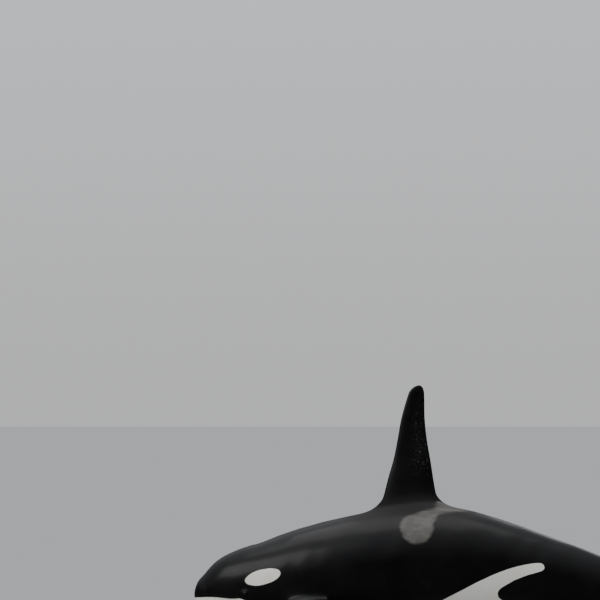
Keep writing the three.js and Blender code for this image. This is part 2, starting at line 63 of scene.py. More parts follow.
# Place along the spine, ridge over the spine, keel under it, half width and height of the widest
# line, all in hundredths of LENGTH, then the section's squareness and the spine's slope in degrees
STATIONS = np.array([
    [0, 1.1, 2.6, 1.9, -1.0, 2.2, 10.5],
    [2, 2.55, 3.6, 2.95, -1.0, 2.2, 10.2],
    [5, 4.85, 5.2, 4.45, -0.9, 2.2, 9.8],
    [9.5, 6.4, 6.7, 5.85, -0.8, 2.2, 9.3],
    [14, 7.15, 7.8, 6.9, -0.7, 2.2, 8.4],
    [20, 8.5, 8.9, 7.9, -0.6, 2.2, 7.2],
    [30, 9.85, 9.75, 8.5, -0.4, 2.15, 7.2],
    [38, 10.3, 9.95, 8.5, -0.2, 2.1, 6.2],
    [45, 10.4, 9.65, 8.15, 0, 2.1, 2.2],
    [51, 9.75, 9.1, 7.5, 0, 2.1, -5.5],
    [58, 8.55, 8.05, 6.5, 0, 2.0, -9.2],
    [68, 6.95, 6.4, 4.8, 0, 1.9, -12.0],
    [78, 5.6, 4.9, 3.2, 0, 1.8, -15.0],
    [86, 4.6, 3.95, 2.25, 0, 1.75, -16.5],
    [92, 3.15, 2.75, 1.75, 0, 1.8, -16.5],
    [95.5, 1.55, 1.35, 1.2, 0, 1.9, -15.5],
    [98.4, 0.55, 0.48, 0.45, 0, 2.0, -14.5],
    [100, 0.2, 0.18, 0.18, 0, 2.0, -14.0],
])
# Height of both tips, and the lengths over which snout and tail are rounded off
TIP_LEVEL = -1.0
SNOUT_ROUND = 1.6
TAIL_ROUND = 0.2

# The mouth line's back end and angles from the ridge, its groove and dark line, how far the lower
# jaw is let in, and the metres round the head for each radian there
MOUTH = {
    "back": 8.3, "front_angle": 92, "back_angle": 106, "groove": 0.016, "wide": 0.0065,
    "dark": 0.006, "overbite": 0.008, "radian": 0.28,
}
# Each lip's height, distance below the mouth line and width
LIPS = ((0.004, -0.02, 0.013), (0.003, 0.022, 0.014))
CREASE = {"at": 2.5, "lean": 0.25, "wide": 0.28, "deep": 0.0024}

# The underside's slit, the folds beside it and the navel. A stretch along the body is where a form
# starts, is full, fades and ends
VENT = {"along": (62.4, 63.2, 66.2, 67.2), "wide": 0.011, "deep": 0.013}
FOLDS = {"along": (61.8, 63.5, 66, 68), "off": 0.034, "wide": 0.02, "high": 0.006}
NAVEL = {"at": 45, "long": 0.06, "wide": 0.02, "deep": 0.007}

# Heights of the two slow waves that leave the flesh a little uneven
WAVES = (0.0020, 0.0012)

# Markings in side view: place along the spine and height, in hundredths of LENGTH
WHITE_EDGE = [
    (8.8, -2.75), (11, -4.1), (14.5, -6.1), (19, -7.9), (25, -8.9), (33, -9.15), (40, -8.9),
    (45.5, -7.9), (50, -5.9), (54, -3.4), (58, -0.9), (62, 1.1), (65.5, 2.0), (66, 1.1),
    (63, -0.7), (60, -2.7), (58.2, -4.6), (58.8, -5.9), (62, -6.2), (66, -5.7), (70, -6.6),
]
SADDLE_EDGE = [
    (39.7, 7.0), (40.3, 8.1), (41.5, 8.8), (43.0, 9.3), (44.5, 9.7), (46.0, 10.05),
    (47.6, 12.5), (53, 12.5), (52.4, 10.1), (50.6, 9.65), (49, 9.35), (47.5, 9.05),
    (46.4, 8.5), (45.8, 7.7), (45.5, 6.7), (45.3, 5.4), (43.9, 3.7), (41.7, 3.6), (40.1, 5.0),
]
EYE_PATCH = {"at": 13.3, "height": 0.75, "long": 3.4, "tall": 1.42, "tilt": 6}

# How far the saddle's streaks lean from the spine, in radians, and where specks start, are full,
# fade and end up the dorsal fin and behind its middle, in metres
STREAK_LEAN = 0.35
SPECKS_UP = (0.3, 0.6, 1.05, 1.35)
SPECKS_BACK = (-0.04, 0.12, 0.8, 1.2)

# Eyes and blowhole: places in hundredths of LENGTH, then metres. The eyeball, the mound round it
# and the lids' patch have half lengths and half heights, and the blowhole's plug has half widths
EYE = {
    "at": 9.45, "height": -1.75, "long": 0.030, "tall": 0.023, "deep": 0.020, "front": 0.0165,
    "cornea": 0.0016,
}
MOUND = {"long": 0.075, "tall": 0.052, "deep": 0.014}
LID = {
    "long": 0.07, "tall": 0.052, "open_long": 0.0225, "open_tall": 0.0135, "crest": 0.0055,
    "tuck": 0.002, "forward": 0.004, "hem": 0.0009, "turn_in": 0.013,
}
BLOWHOLE = {
    "at": 11.7, "wide": 0.066, "long": 0.040, "slit": 0.022, "shut": 0.002, "collar": 0.0065,
    "plug": 0.0045, "hem": 0.0012, "reach": 1.9,
}
EYE_X, EYE_Z = EYE["at"] * PERCENT, EYE["height"] * PERCENT
HOLE_X = BLOWHOLE["at"] * PERCENT

# Hollows in the skin behind the lids and the blowhole
EYE_POCKET = {"long": 0.027, "tall": 0.019, "deep": 0.03}
HOLE_POCKET = {"long": 0.05, "wide": 0.075, "deep": 0.035}
# The eyes' forms lie further than this out of the middle plane, and the blowhole's over the spine
OFF_MIDDLE = 0.1

# Fins. Each has its root's fillet and the share of it that goes to the sides, the distance out
# where its tip starts, the tip's place, the distance out to which it follows the skin, the chord
# share of its block's corners and the block's columns, and how many fillets out it is softened.
# Edges are [distance out, front, back] and thickness is [distance out, share of the chord]
DORSAL = {
    "at": 41, "seat": 0.018, "fillet": 0.17, "sides": 0.42, "round": 1.53, "tip": 0.128, "hold": 0.48,
    "corner": 0.05, "columns": 14, "soft": 1.7,
    "edges": [
        [-0.2, -0.49, 0.425], [0, -0.425, 0.388], [0.3, -0.326, 0.329], [0.6, -0.232, 0.282],
        [0.9, -0.17, 0.231], [1.2, -0.116, 0.201], [1.45, -0.046, 0.197], [1.64, 0.018, 0.19],
    ],
    "thickness": [[-0.2, 0.15], [0, 0.14], [0.5, 0.125], [1.2, 0.115], [1.64, 0.12]],
}
FLIPPER = {
    "at": 21, "height": -4.4, "fillet": 0.08, "sides": 1, "round": 1.1, "tip": 0.07, "hold": 0.38,
    "corner": 0.1, "columns": 12, "soft": 1.4, "droop": 38, "sweep": 28, "pitch": 8,
    "edges": [
        [-0.2, -0.25, 0.215], [0, -0.255, 0.22], [0.3, -0.33, 0.28], [0.6, -0.415, 0.375],
        [0.9, -0.462, 0.455], [1.2, -0.44, 0.482], [1.45, -0.37, 0.455], [1.7, -0.23, 0.34],
    ],
    "thickness": [[-0.2, 0.3], [0, 0.27], [0.4, 0.17], [1.0, 0.105], [1.7, 0.085]],
}
FLUKE = {
    "at": 100, "fillet": 0.055, "sides": 1, "round": 1.01, "tip": 0.24, "hold": 0.45, "corner": 0.2,
    "columns": 28, "soft": 2.2, "curl": 0.15, "lift": 3, "raise": 0.02, "border": 0.035, "white": 0.12,
    "edges": [
        [-0.2, -0.8, -0.05], [0, -0.745, -0.03], [0.09, -0.67, 0.035], [0.2, -0.612, 0.075],
        [0.35, -0.522, 0.1], [0.65, -0.3, 0.115], [0.9, -0.08, 0.15], [1.06, 0.095, 0.208],
        [1.15, 0.215, 0.262],
    ],
    "thickness": [
        [-0.2, 0.22], [0, 0.21], [0.12, 0.19], [0.35, 0.145], [0.8, 0.11], [1.15, 0.1],
    ],
}
# Half the thickness that a fin's edges keep
EDGE_ROUND = 0.003

# The display stand, with its rods at places along the spine, and the gap between its pieces
STAND = {
    "length": 3.3, "width": 1.5, "thick": 0.06, "corner": 0.14,
    "rods_at": {"front": 26, "rear": 60.5}, "rod": 0.048, "flange": 0.13, "flange_height": 0.024,
    "cradle": 0.15, "cradle_height": 0.095, "rim_under": 0.02, "foot": 0.018, "chamfer": 0.006,
    "bolt_inset": 0.036, "bead": 0.011, "groove_deep": 0.003, "groove_wide": 0.004,
    "pad_under": 0.0012, "pad_thinner": 0.0016, "pad_past": 0.002,
}
GAP = 0.0003
# Radius of the small hole at the axis of a turned piece, which a fan closes
NEAR_AXIS = 0.001
# Folds sharper than these, in degrees, are shaded as edges
SHARP_FOLD = 35
BOLT_FOLD = 28
DOWN = np.array([0, 0, -1.0])

# The stand's finishes: dark and light tone, fineness of the speckle, roughness and metal
FINISHES = {
    "Powder coat": ((0.10, 0.104, 0.108, 1), (0.14, 0.145, 0.15, 1), 120.0, 0.4, 0.0),
    "Textured coat": ((0.14, 0.145, 0.15, 1), (0.18, 0.185, 0.19, 1), 90.0, 0.5, 0.0),
    "Zinc plate": ((0.3, 0.3, 0.29, 1), (0.42, 0.42, 0.41, 1), 300.0, 0.3, 1.0),
    "Rubber": ((0.012, 0.012, 0.012, 1), (0.02, 0.02, 0.02, 1), 150.0, 0.7, 0.0),
}

# The skin's grid: columns round it, and [place, distance between stations]
COLUMNS = 180
SPACING = [
    [1.6, 0.008], [8.6, 0.008], [9.3, 0.006], [12.6, 0.006], [15, 0.013], [18, 0.025],
    [48, 0.025], [54, 0.036], [86, 0.039], [90, 0.021], [99.1, 0.019],
]
# Metres round the body for each radian from the ridge, for patterns that lie on the skin
GIRTH = 0.55
SIDES = {"left": -1, "right": 1}

# The picture's width, the scale at the animal, the fin's foot and the row where the floor ends
PICTURE = 600
PIXELS_PER_METRE = 73
FIN_PIXEL = (410, 505)
HORIZON_ROW = 425


def smoothstep(x, low, high):
    """3t^2 - 2t^3, where t runs from 0 at low to 1 at high."""
    t = np.clip((x - low) / (high - low), 0, 1)
    return t * t * (3 - 2 * t)


def between(x, start, full, fading, end):
    """1 from full to fading, and 0 before the start and past the end, with smooth steps."""
    return smoothstep(x, start, full) * smoothstep(x, end, fading)


def bell(x, width):
    """exp(-(x/width)^2), a soft ridge or groove."""
    return np.exp(-((x / width) ** 2))


def full_turn(count):
    """Angles at even steps once round."""
    return np.linspace(0, 2 * np.pi, count, endpoint=False)


def smooth(rows, k, x):
    """Column k of a table at places x: a cubic between rows, its slopes weighted by their steps."""
    rows = np.asarray(rows, float)
    places, values = rows[:, 0], rows[:, k]
    step = np.diff(places)
    rise = np.diff(values) / step
    inner = (rise[:-1] * step[1:] + rise[1:] * step[:-1]) / (step[:-1] + step[1:])
    slope = np.concatenate([rise[:1], inner, rise[-1:]])
    i = np.clip(np.searchsorted(places, x, "right") - 1, 0, len(step) - 1)
    h = step[i]
    t = (x - places[i]) / h
    s = 1 - t
    return (
        (1 + 2 * t) * s * s * values[i] + t * s * s * h * slope[i]
        + t * t * (3 - 2 * t) * values[i + 1] - t * t * s * h * slope[i + 1]
    )


def slope_at(x):
    """The spine's slope in radians at a distance along it."""
    return np.radians(smooth(STATIONS, 6, x / PERCENT))


# The arched spine, summed from its slope in even steps
SPINE_STEPS = 400
SPINE_STEP = LENGTH / SPINE_STEPS
SLOPES = slope_at((np.arange(SPINE_STEPS) + 0.5) * SPINE_STEP)
SPINE = np.concatenate([
    [[0, 0]], np.cumsum(np.stack([np.cos(SLOPES), np.sin(SLOPES)], 1) * SPINE_STEP, 0),
])


def spine_point(x):
    """The spine's X and Z at a distance along it, straight between its points."""
    i = np.clip(np.floor(x / SPINE_STEP).astype(int), 0, SPINE_STEPS - 1)
    t = (x / SPINE_STEP - i)[..., None]
    return SPINE[i] * (1 - t) + SPINE[i + 1] * t


BALANCE_X = float(spine_point(np.array(BALANCE * PERCENT))[0])
SPINE_LIFT = SPINE_HEIGHT - float(SPINE[:, 1].max())


def pose(x, y, z):
    """Carries the straight body into the pose: along the spine by x, then square to it by z."""
    x, y, z = np.broadcast_arrays(*(np.asarray(v, float) for v in (x, y, z)))
    p = spine_point(x)
    slope = slope_at(x)
    return np.stack([
        p[..., 0] - BALANCE_X - np.sin(slope) * z, y, SPINE_LIFT + p[..., 1] + np.cos(slope) * z,
    ], -1)


def unpose(p):
    """Carries points back to the straight body, by steps along the spine until they lie square."""
    x = p[..., 0] + BALANCE_X
    for _ in range(6):
        slope = slope_at(x)
        off = p - pose(x, 0, 0)
        along = off[..., 0] * np.cos(slope) + off[..., 2] * np.sin(slope)
        up = off[..., 2] * np.cos(slope) - off[..., 0] * np.sin(slope)
        x = np.clip(x + along, 0, LENGTH)
    return x, p[..., 1], up


def section(x):
    """The body's section: its levels and width from the table, rounded as ellipses at both tips."""
    at = x / PERCENT
    front = np.sqrt(1 - (1 - np.clip(at / SNOUT_ROUND, 0, 1)) ** 2)
    rear = np.sqrt(1 - (1 - np.clip((100 - at) / TAIL_ROUND, 0, 1)) ** 2)

    def level(value):
        return (TIP_LEVEL + (value - TIP_LEVEL) * front) * PERCENT * rear

    return {
        "top": level(smooth(STATIONS, 1, at)),
        "bottom": level(-smooth(STATIONS, 2, at)),
        "half": smooth(STATIONS, 3, at) * PERCENT * front * rear,
        "widest": level(smooth(STATIONS, 4, at)),
        "square": smooth(STATIONS, 5, at),
    }


def reach(x, y, z):
    """How far out of its section's middle a point lies: |y/half|^n + |z/tall|^n, 1 on the skin."""
    s = section(x)
    tall = np.abs(np.where(z > s["widest"], s["top"], s["bottom"]) - s["widest"])
    tiny = 1e-9
    return (
        np.abs(y / (s["half"] + tiny)) ** s["square"]
        + np.abs((z - s["widest"]) / (tall + tiny)) ** s["square"]
    )


def flank(x, z):
    """How far out to the side the skin is at a place and height."""
    s = section(x)
    return s["half"] * np.clip(1 - reach(x, 0 * x, z), 0, 1) ** (1 / s["square"])


def skin_along(start, direction, near, far):
    """Distance along a line to the skin, by halving, or 0 where the line starts outside."""
    inside = np.full(start.shape[:-1], float(near))
    outside = np.full(start.shape[:-1], float(far))
    starts_in = reach(*unpose(start + inside[..., None] * direction)) <= 1
    for _ in range(26):
        middle = (inside + outside) / 2
        within = reach(*unpose(start + middle[..., None] * direction)) < 1
        inside = np.where(within, middle, inside)
        outside = np.where(within, outside, middle)
    return np.where(starts_in, inside, 0)


def mouth_angle(at):
    """The mouth line's angle round the section from the ridge."""
    front, back = np.radians(MOUTH["front_angle"]), np.radians(MOUTH["back_angle"])
    return front + (back - front) * smoothstep(at, 0, MOUTH["back"])


def mouth_open(at):
    """1 along the mouth, fading out at the snout's tip and at the corner."""
    return smoothstep(at, 0, 0.6) * (1 - smoothstep(at, MOUTH["back"] - 1, MOUTH["back"] + 0.3))


def skin(x, angle, depth=0):
    """A point of the skin: (half sin^p, tall cos^p) at an angle from the ridge, let in by depth."""
    s = section(x)
    power = 2 / s["square"]
    c, sn = np.cos(angle), np.sin(angle)
    y = s["half"] * np.sign(sn) * np.abs(sn) ** power
    z = (np.where(c > 0, s["top"], s["bottom"]) - s["widest"]) * np.abs(c) ** power
    kept = 1 - np.minimum(depth / (np.hypot(y, z) + 1e-6), 0.5)
    return x, y * kept, s["widest"] + z * kept


def skin_angle(x, y, z):
    """The angle from the ridge of a point of the skin, negative on the left."""
    s = section(x)
    root = s["square"] / 2
    up = z - s["widest"]
    tall = np.abs(np.where(up > 0, s["top"], s["bottom"]) - s["widest"])
    side = np.abs(y / s["half"]) ** root
    return np.sign(y) * np.arctan2(side, np.sign(up) * np.abs(up / tall) ** root)


def stations():
    """Places along the body: cosine steps round both tips and the table's spacing between."""
    turn = np.linspace(0, np.pi / 2, 21)
    fine = np.linspace(SNOUT_ROUND, 100 - TAIL_ROUND, 4000)
    rows = np.array(SPACING)
    density = PERCENT / np.interp(fine, rows[:, 0], rows[:, 1])
    steps = (density[1:] + density[:-1]) / 2 * np.diff(fine)
    count = np.concatenate([[0], np.cumsum(steps)])
    middle = np.interp(np.linspace(0, count[-1], round(count[-1]) + 1), count, fine)
    front = SNOUT_ROUND * (1 - np.cos(turn))
    rear = 100 - TAIL_ROUND * (1 - np.cos(turn[::2]))[::-1]
    return np.concatenate([front[1:-1], middle, rear[1:-1]])


def grid_angles(at):
    """Angles of the grid's columns: a cubic from ridge to mouth line and on to the keel, with
    slopes that crowd the columns at the mouth, and at the ridge beside the blowhole."""
    half = COLUMNS // 2
    share = np.linspace(0, 1, half + 1)
    mouth = mouth_angle(at)[:, None] / np.pi
    split = 0.55
    crowd = smoothstep(at, 18, 10.5)[:, None]
    ridge = between(at, 7, 10, 13, 17)[:, None]
    level = mouth * crowd + split * (1 - crowd)
    at_mouth = 1 - 0.8 * crowd
    at_ridge = 1 - 0.6 * ridge

    def eased(t, first, last):
        return t * t * (3 - 2 * t) + first * t * (1 - t) ** 2 - last * t * t * (1 - t)

    above = level * eased(np.clip(share / split, 0, 1), at_ridge, at_mouth)
    below = 1 - (1 - level) * eased(np.clip((1 - share) / (1 - split), 0, 1), 1, at_mouth)
    angle = np.pi * np.where(share < split, above, below)
    return np.concatenate([-angle[:, :0:-1], angle[:, :-1]], 1)


def aerofoil(s):
    """Half the thickness of a symmetric aerofoil 1 thick, at a share s of its chord."""
    return 5 * (
        0.2969 * np.sqrt(s) - 0.126 * s - 0.3516 * s ** 2 + 0.2843 * s ** 3 - 0.1036 * s ** 4
    )


def fin_turns(fin, along, sign):
    """The turn round a fin's section of each point of a block's border, which starts at the
    front corner: turns at even steps round both edges, chord shares at even steps between."""
    corner = np.arccos(1 - 2 * fin["corner"])
    across = fin["columns"]
    front = np.linspace(-corner, corner, across + 1)[:-1]
    side = np.arccos(1 - 2 * np.linspace(fin["corner"], 1 - fin["corner"], along + 1)[:-1])
    back = np.linspace(np.pi - corner, np.pi + corner, across + 1)[:-1]
    return sign * np.concatenate([front, side, back, side + np.pi])


def fin_section(fin, out, turn, spread):
    """A fin's section: an aerofoil between its edges, spread by the fillet, and drawn in to the
    tip's line as a quarter ellipse. Returns the place back and across, and the chord's share."""
    end = fin["edges"][-1][0]
    run = np.clip((out - fin["round"]) / (end - fin["round"]), 0, 1)
    kept = np.sqrt(1 - run * run)
    front, back = (fin["tip"] + (smooth(fin["edges"], k, out) - fin["tip"]) * kept for k in (1, 2))
    thick = smooth(fin["thickness"], 1, out) * (back - front)
    share = (1 - np.cos(turn)) / 2
    side = spread * fin["sides"] + EDGE_ROUND * kept
    across = thick * aerofoil(share) + side * np.abs(np.sin(turn))
    return front + (back - front) * share - spread * np.cos(turn), np.sign(np.sin(turn)) * across


def fin_levels(fin):
    """Distances out and fillet spreads of a fin's rings: a quarter circle at the root, even steps
    up the blade and sine steps round the tip."""
    turn = np.linspace(0, np.pi / 2, 9)
    end, start = fin["edges"][-1][0], fin["fillet"]
    blade = np.linspace(start, fin["round"], round((fin["round"] - start) / 0.036) + 1)[1:]
    around = np.concatenate([np.linspace(0, 72, 15)[1:], [76, 80, 83.5, 86.5, 88.5]])
    tip = fin["round"] + (end - fin["round"]) * np.sin(np.radians(around))
    level = np.concatenate([start * (1 - np.cos(turn)), blade, tip])
    spread = np.concatenate([start * (1 - np.sin(turn)), 0 * blade, 0 * tip])
    return level[:, None], spread[:, None]


def grow_fin(fin, placing, turn):
    """A fin's rings, from the skin outwards. Near the root each point follows the skin."""
    level, spread = fin_levels(fin)
    spread = spread * (1 - placing.get("close_rear", 0) * smoothstep(-np.cos(turn), 0.2, 1))
    back, across = fin_section(fin, level, turn, spread)
    if "limit" in placing:
        room = placing["limit"](back, across)
        across = across * (1 + (room - 1) * (1 - smoothstep(level, 0, 2 * fin["fillet"])))
    p = (
        placing["origin"] + back[..., None] * placing["rear"] + across[..., None] * placing["side"]
    )
    hold = 1 - smoothstep(level, fin["fillet"], fin["hold"])
    root = hold * skin_along(p, placing["out"], placing["near"], placing["far"])
    end = fin["edges"][-1][0]
    bend = fin.get("curl", 0) * (level / end) ** 2
    rings = p + (level + root)[..., None] * placing["out"] - bend[..., None] * placing["side"]
    return rings, level, back


def turned_up(slope, *vector):
    """A vector of the straight body, turned up by the spine's slope there."""
    x, y, z = vector
    c, s = math.cos(slope), math.sin(slope)
    return np.array([c * x - s * z, y, s * x + c * z])


def dorsal_placing():
    """The dorsal fin stands plumb on the ridge."""
    x = np.array(DORSAL["at"] * PERCENT)
    foot = pose(x, 0, 0)
    up = np.array([0, 0, 1.0])
    ridge = float(skin_along(foot, up, 0, 2))
    return {
        "origin": foot + up * (ridge + DORSAL["seat"]), "rear": np.array([1.0, 0, 0]),
        "side": np.array([0, 1.0, 0]), "out": up, "near": -0.4, "far": 0.2, "sign": 1,
    }


def flipper_placing(side):
    """A flipper droops, sweeps back and dips its leading edge."""
    x, z = np.array(FLIPPER["at"] * PERCENT), FLIPPER["height"] * PERCENT
    droop, sweep, pitch = (math.radians(FLIPPER[k]) for k in ("droop", "sweep", "pitch"))
    slope = float(slope_at(x))
    out = turned_up(
        slope, math.sin(sweep) * math.cos(droop),
        side * math.cos(sweep) * math.cos(droop), -math.sin(droop),
    )
    chord = turned_up(slope, math.cos(pitch), 0, math.sin(pitch))
    rear = chord - out * chord.dot(out)
    rear /= np.linalg.norm(rear)
    return {
        "origin": pose(x, side * flank(x, z), z), "rear": rear, "out": out,
        "side": np.cross(rear, out) * side, "near": -0.45, "far": 0.4, "sign": -side,
    }


def fluke_placing(side):
    """A fluke grows sideways out of the tail's end, a little lifted from its line."""
    slope = float(slope_at(np.array(LENGTH))) + math.radians(FLUKE["lift"])
    origin = pose(np.array(LENGTH), 0, FLUKE["raise"])

    def limit(back, across):
        """Share by which the root is narrowed so that it stays on the tail stock's side."""
        x, _, z = unpose(origin + back[..., None] * turned_up(slope, 1, 0, 0))
        s = section(np.minimum(x, LENGTH - 0.01))
        room = 0.8 * np.where(across > 0, s["top"] - z, z - s["bottom"])
        return np.minimum(1, np.maximum(room, 0.004) / (np.abs(across) + 1e-9))

    return {
        "origin": origin, "rear": turned_up(slope, 1, 0, 0), "side": turned_up(slope, 0, 0, 1),
        "out": np.array([0, float(side), 0]), "near": 0, "far": 0.5, "sign": -side,
        "close_rear": 0.7, "limit": limit,
    }


def quads_between(index, closed=True):
    """Quads between neighbouring numbers of a grid, joined round where it's closed."""
    if closed:
        index = np.concatenate([index, index[:, :1]], 1)
    return np.stack([index[:-1, :-1], index[1:, :-1], index[1:, 1:], index[:-1, 1:]], -1)


def end_fans(index, first, last):
    """Triangles from a closed grid's first and last rows to a point past each."""
    after = np.roll(index, -1, 1)
    return np.concatenate([
        np.stack([index[0], after[0], 0 * index[0] + first], -1),
        np.stack([after[-1], index[-1], 0 * index[0] + last], -1),
    ])


def border(rows, columns):
    """The index pairs round a block, from its front corner across, back, across and forward."""
    i0, i1 = rows
    c0, c1 = columns
    i, c = np.arange(i0, i1 + 1), np.arange(c0, c1 + 1)
    return (
        np.concatenate([np.full(len(c) - 1, i0), i[:-1], np.full(len(c) - 1, i1), i[:0:-1]]),
        np.concatenate([c[:-1], np.full(len(i) - 1, c1), c[:0:-1], np.full(len(i) - 1, c0)]),
    )


def relax(field, fixed, window, rounds=400):
    """Spreads the field from its fixed cells through the window, each cell the mean of its
    four neighbours."""
    rows, columns = window
    part = field[rows[0]:rows[1], columns[0]:columns[1]]
    held = fixed[rows[0]:rows[1], columns[0]:columns[1]].copy()
    held[[0, -1]] = True
    held[:, [0, -1]] = True
    for _ in range(rounds):
        mean = (
            np.roll(part, 1, 0) + np.roll(part, -1, 0) + np.roll(part, 1, 1) + np.roll(part, -1, 1)
        ) / 4
        part[:] = np.where(held[..., None], part, mean)


def coons(ring, along, across):
    """A patch inside a closed ring: the sum of the two ruled patches less the corners' one."""
    front = ring[:across + 1]
    right = ring[across:across + along + 1]
    back = ring[across + along:2 * across + along + 1][::-1]
    left = np.concatenate([ring[2 * across + along:], ring[:1]])[::-1]
    s = np.linspace(0, 1, along + 1)[:, None, None]
    t = np.linspace(0, 1, across + 1)[None, :, None]
    return (
        (1 - s) * front[None] + s * back[None] + (1 - t) * left[:, None] + t * right[:, None]
        - (1 - s) * (1 - t) * front[0] - (1 - s) * t * front[-1]
        - s * (1 - t) * back[0] - s * t * back[-1]
    )


def curve_through(points, count, closed):
    """A smooth line through points, as centripetal Catmull-Rom pieces."""
    p = np.array(points, float)
    ends = (p[-1:], p[:2]) if closed else (2 * p[:1] - p[1:2], 2 * p[-1:] - p[-2:-1])
    p = np.concatenate([ends[0], p, ends[1]])
    knots = np.concatenate([[0], np.cumsum(np.sqrt(np.linalg.norm(np.diff(p, axis=0), axis=1)))])
    line = []
    for i in range(1, len(p) - 2):
        t0, t1, t2, t3 = knots[i - 1:i + 3]
        t = np.linspace(t1, t2, count)[:-1, None]
        a1 = (t1 - t) / (t1 - t0) * p[i - 1] + (t - t0) / (t1 - t0) * p[i]
        a2 = (t2 - t) / (t2 - t1) * p[i] + (t - t1) / (t2 - t1) * p[i + 1]
        a3 = (t3 - t) / (t3 - t2) * p[i + 1] + (t - t2) / (t3 - t2) * p[i + 2]
        b1 = (t2 - t) / (t2 - t0) * a1 + (t - t0) / (t2 - t0) * a2
        b2 = (t3 - t) / (t3 - t1) * a2 + (t - t1) / (t3 - t1) * a3
        line.append((t2 - t) / (t2 - t1) * b1 + (t - t1) / (t2 - t1) * b2)
    if not closed:
        line.append(p[-2:-1])
    return np.concatenate(line)


def signed_distance(points, outline):
    """Distance from points to a closed outline, positive inside by the count of crossings."""
    best = np.full(len(points), 1e9)
    inside = np.zeros(len(points), bool)
    for a, b in zip(outline, np.roll(outline, -1, 0)):
        edge = b - a
        rel = points - a
        t = np.clip((rel @ edge) / max(edge @ edge, 1e-12), 0, 1)
        best = np.minimum(best, np.linalg.norm(rel - t[:, None] * edge, axis=1))
        crosses = (a[1] > points[:, 1]) != (b[1] > points[:, 1])
        rise = edge[1] if abs(edge[1]) > 1e-12 else 1e-12
        left_of = points[:, 0] < edge[0] * (points[:, 1] - a[1]) / rise + a[0]
        inside ^= crosses & left_of
    return np.where(inside, best, -best)


def white_outline():
    """The white underside in side view: the mouth line, its upper edge and a line far below."""
    at = np.linspace(0.05, MOUTH["back"], 60)
    _, _, z = skin(at * PERCENT, mouth_angle(at))
    mouth = np.stack([at, z / PERCENT], 1)
    edge = curve_through(WHITE_EDGE, 8, False)
    return np.concatenate([[[-2, TIP_LEVEL]], mouth, edge, [[70, -20], [-2, -20]]])


def skin_depth(at, angle):
    """How far the skin is let in at each place: the mouth's groove between two soft lips, the
    inset lower jaw, the crease behind the beak, the raised mound round the eye, the slit, folds
    and navel of the underside, and two slow waves that leave the flesh a little uneven."""
    x = at * PERCENT
    s = section(x)
    _, y, z = skin(x, angle)
    turn = np.abs(angle)
    girth = (s["half"] + (s["top"] - s["bottom"]) / 2) / 2
    below = (turn - mouth_angle(at)) * girth
    opening = mouth_open(at)
    groove = MOUTH["groove"] * bell(below, MOUTH["wide"])
    lips = sum(high * bell(below - off, wide) for high, off, wide in LIPS)
    jaw = MOUTH["overbite"] * smoothstep(below, 0, 0.012) * (1 - smoothstep(below, 0.05, 0.22))
    depth = opening * (groove - lips + jaw)
    crease = CREASE["deep"] * bell(at - CREASE["at"] - CREASE["lean"] * np.cos(angle), CREASE["wide"])
    depth = depth + crease * smoothstep(-below, 0, 0.06) * smoothstep(at, 0.8, 1.8)

    r = np.hypot((x - EYE_X) / MOUND["long"], (z - EYE_Z) / MOUND["tall"])
    depth = depth - MOUND["deep"] * (1 - smoothstep(r, 0.35, 1.25)) * (np.abs(y) > OFF_MIDDLE)

    middle = np.where(z < 0, y, 1.0)
    vent = bell(middle, VENT["wide"]) * between(at, *VENT["along"])
    folds = bell(np.abs(middle) - FOLDS["off"], FOLDS["wide"]) * between(at, *FOLDS["along"])
    navel = np.hypot((at - NAVEL["at"]) * PERCENT / NAVEL["long"], middle / NAVEL["wide"])
    depth = depth + VENT["deep"] * vent - FOLDS["high"] * folds + NAVEL["deep"] * bell(navel, 1)
    long_wave = np.sin(8.3 * x + 2.4 * np.sin(2 * angle)) * np.sin(3 * angle + 1.7 * x)
    short_wave = np.sin(15.1 * x - 5 * angle + 1.3 * np.sin(4.1 * x))
    return depth + WAVES[0] * long_wave + WAVES[1] * short_wave


def pockets(at, angle):
    """Hollows in the skin behind the lids and the blowhole, which have surfaces of their own."""
    x = at * PERCENT
    _, y, z = skin(x, angle)
    eye = np.hypot((x - EYE_X) / EYE_POCKET["long"], (z - EYE_Z) / EYE_POCKET["tall"])
    hole = np.hypot((x - HOLE_X) / HOLE_POCKET["long"], y / HOLE_POCKET["wide"])
    return (
        EYE_POCKET["deep"] * (1 - smoothstep(eye, 0.8, 1.2)) * (np.abs(y) > OFF_MIDDLE)
        + HOLE_POCKET["deep"] * (1 - smoothstep(hole, 0.8, 1.15)) * (z > OFF_MIDDLE)
    )


def grow_fins(at, angle):
    """Every fin with its rings and the block of the grid that they replace."""
    grown = []
    for name, fin, placing in (
        ("dorsal", DORSAL, dorsal_placing()),
        *(("flipper", FLIPPER, flipper_placing(side)) for side in SIDES.values()),
        *(("fluke", FLUKE, fluke_placing(side)) for side in SIDES.values()),
    ):
        x, y, z = unpose(grow_fin(fin, placing, full_turn(240))[0][0])
        spread = skin_angle(x, y, z)
        i0, i1 = (int(np.abs(at - edge / PERCENT).argmin()) for edge in (x.min(), x.max()))
        centre = int(np.abs(angle[(i0 + i1) // 2] - (spread.min() + spread.max()) / 2).argmin())
        c0 = centre - fin["columns"] // 2
        turn = fin_turns(fin, i1 - i0, placing["sign"])
        rings, level, back = grow_fin(fin, placing, turn)
        grown.append({
            "name": name, "fin": fin, "block": ((i0, i1), (c0, c0 + fin["columns"])), "turn": turn,
            "rings": rings, "level": level, "back": back,
        })
    return grown


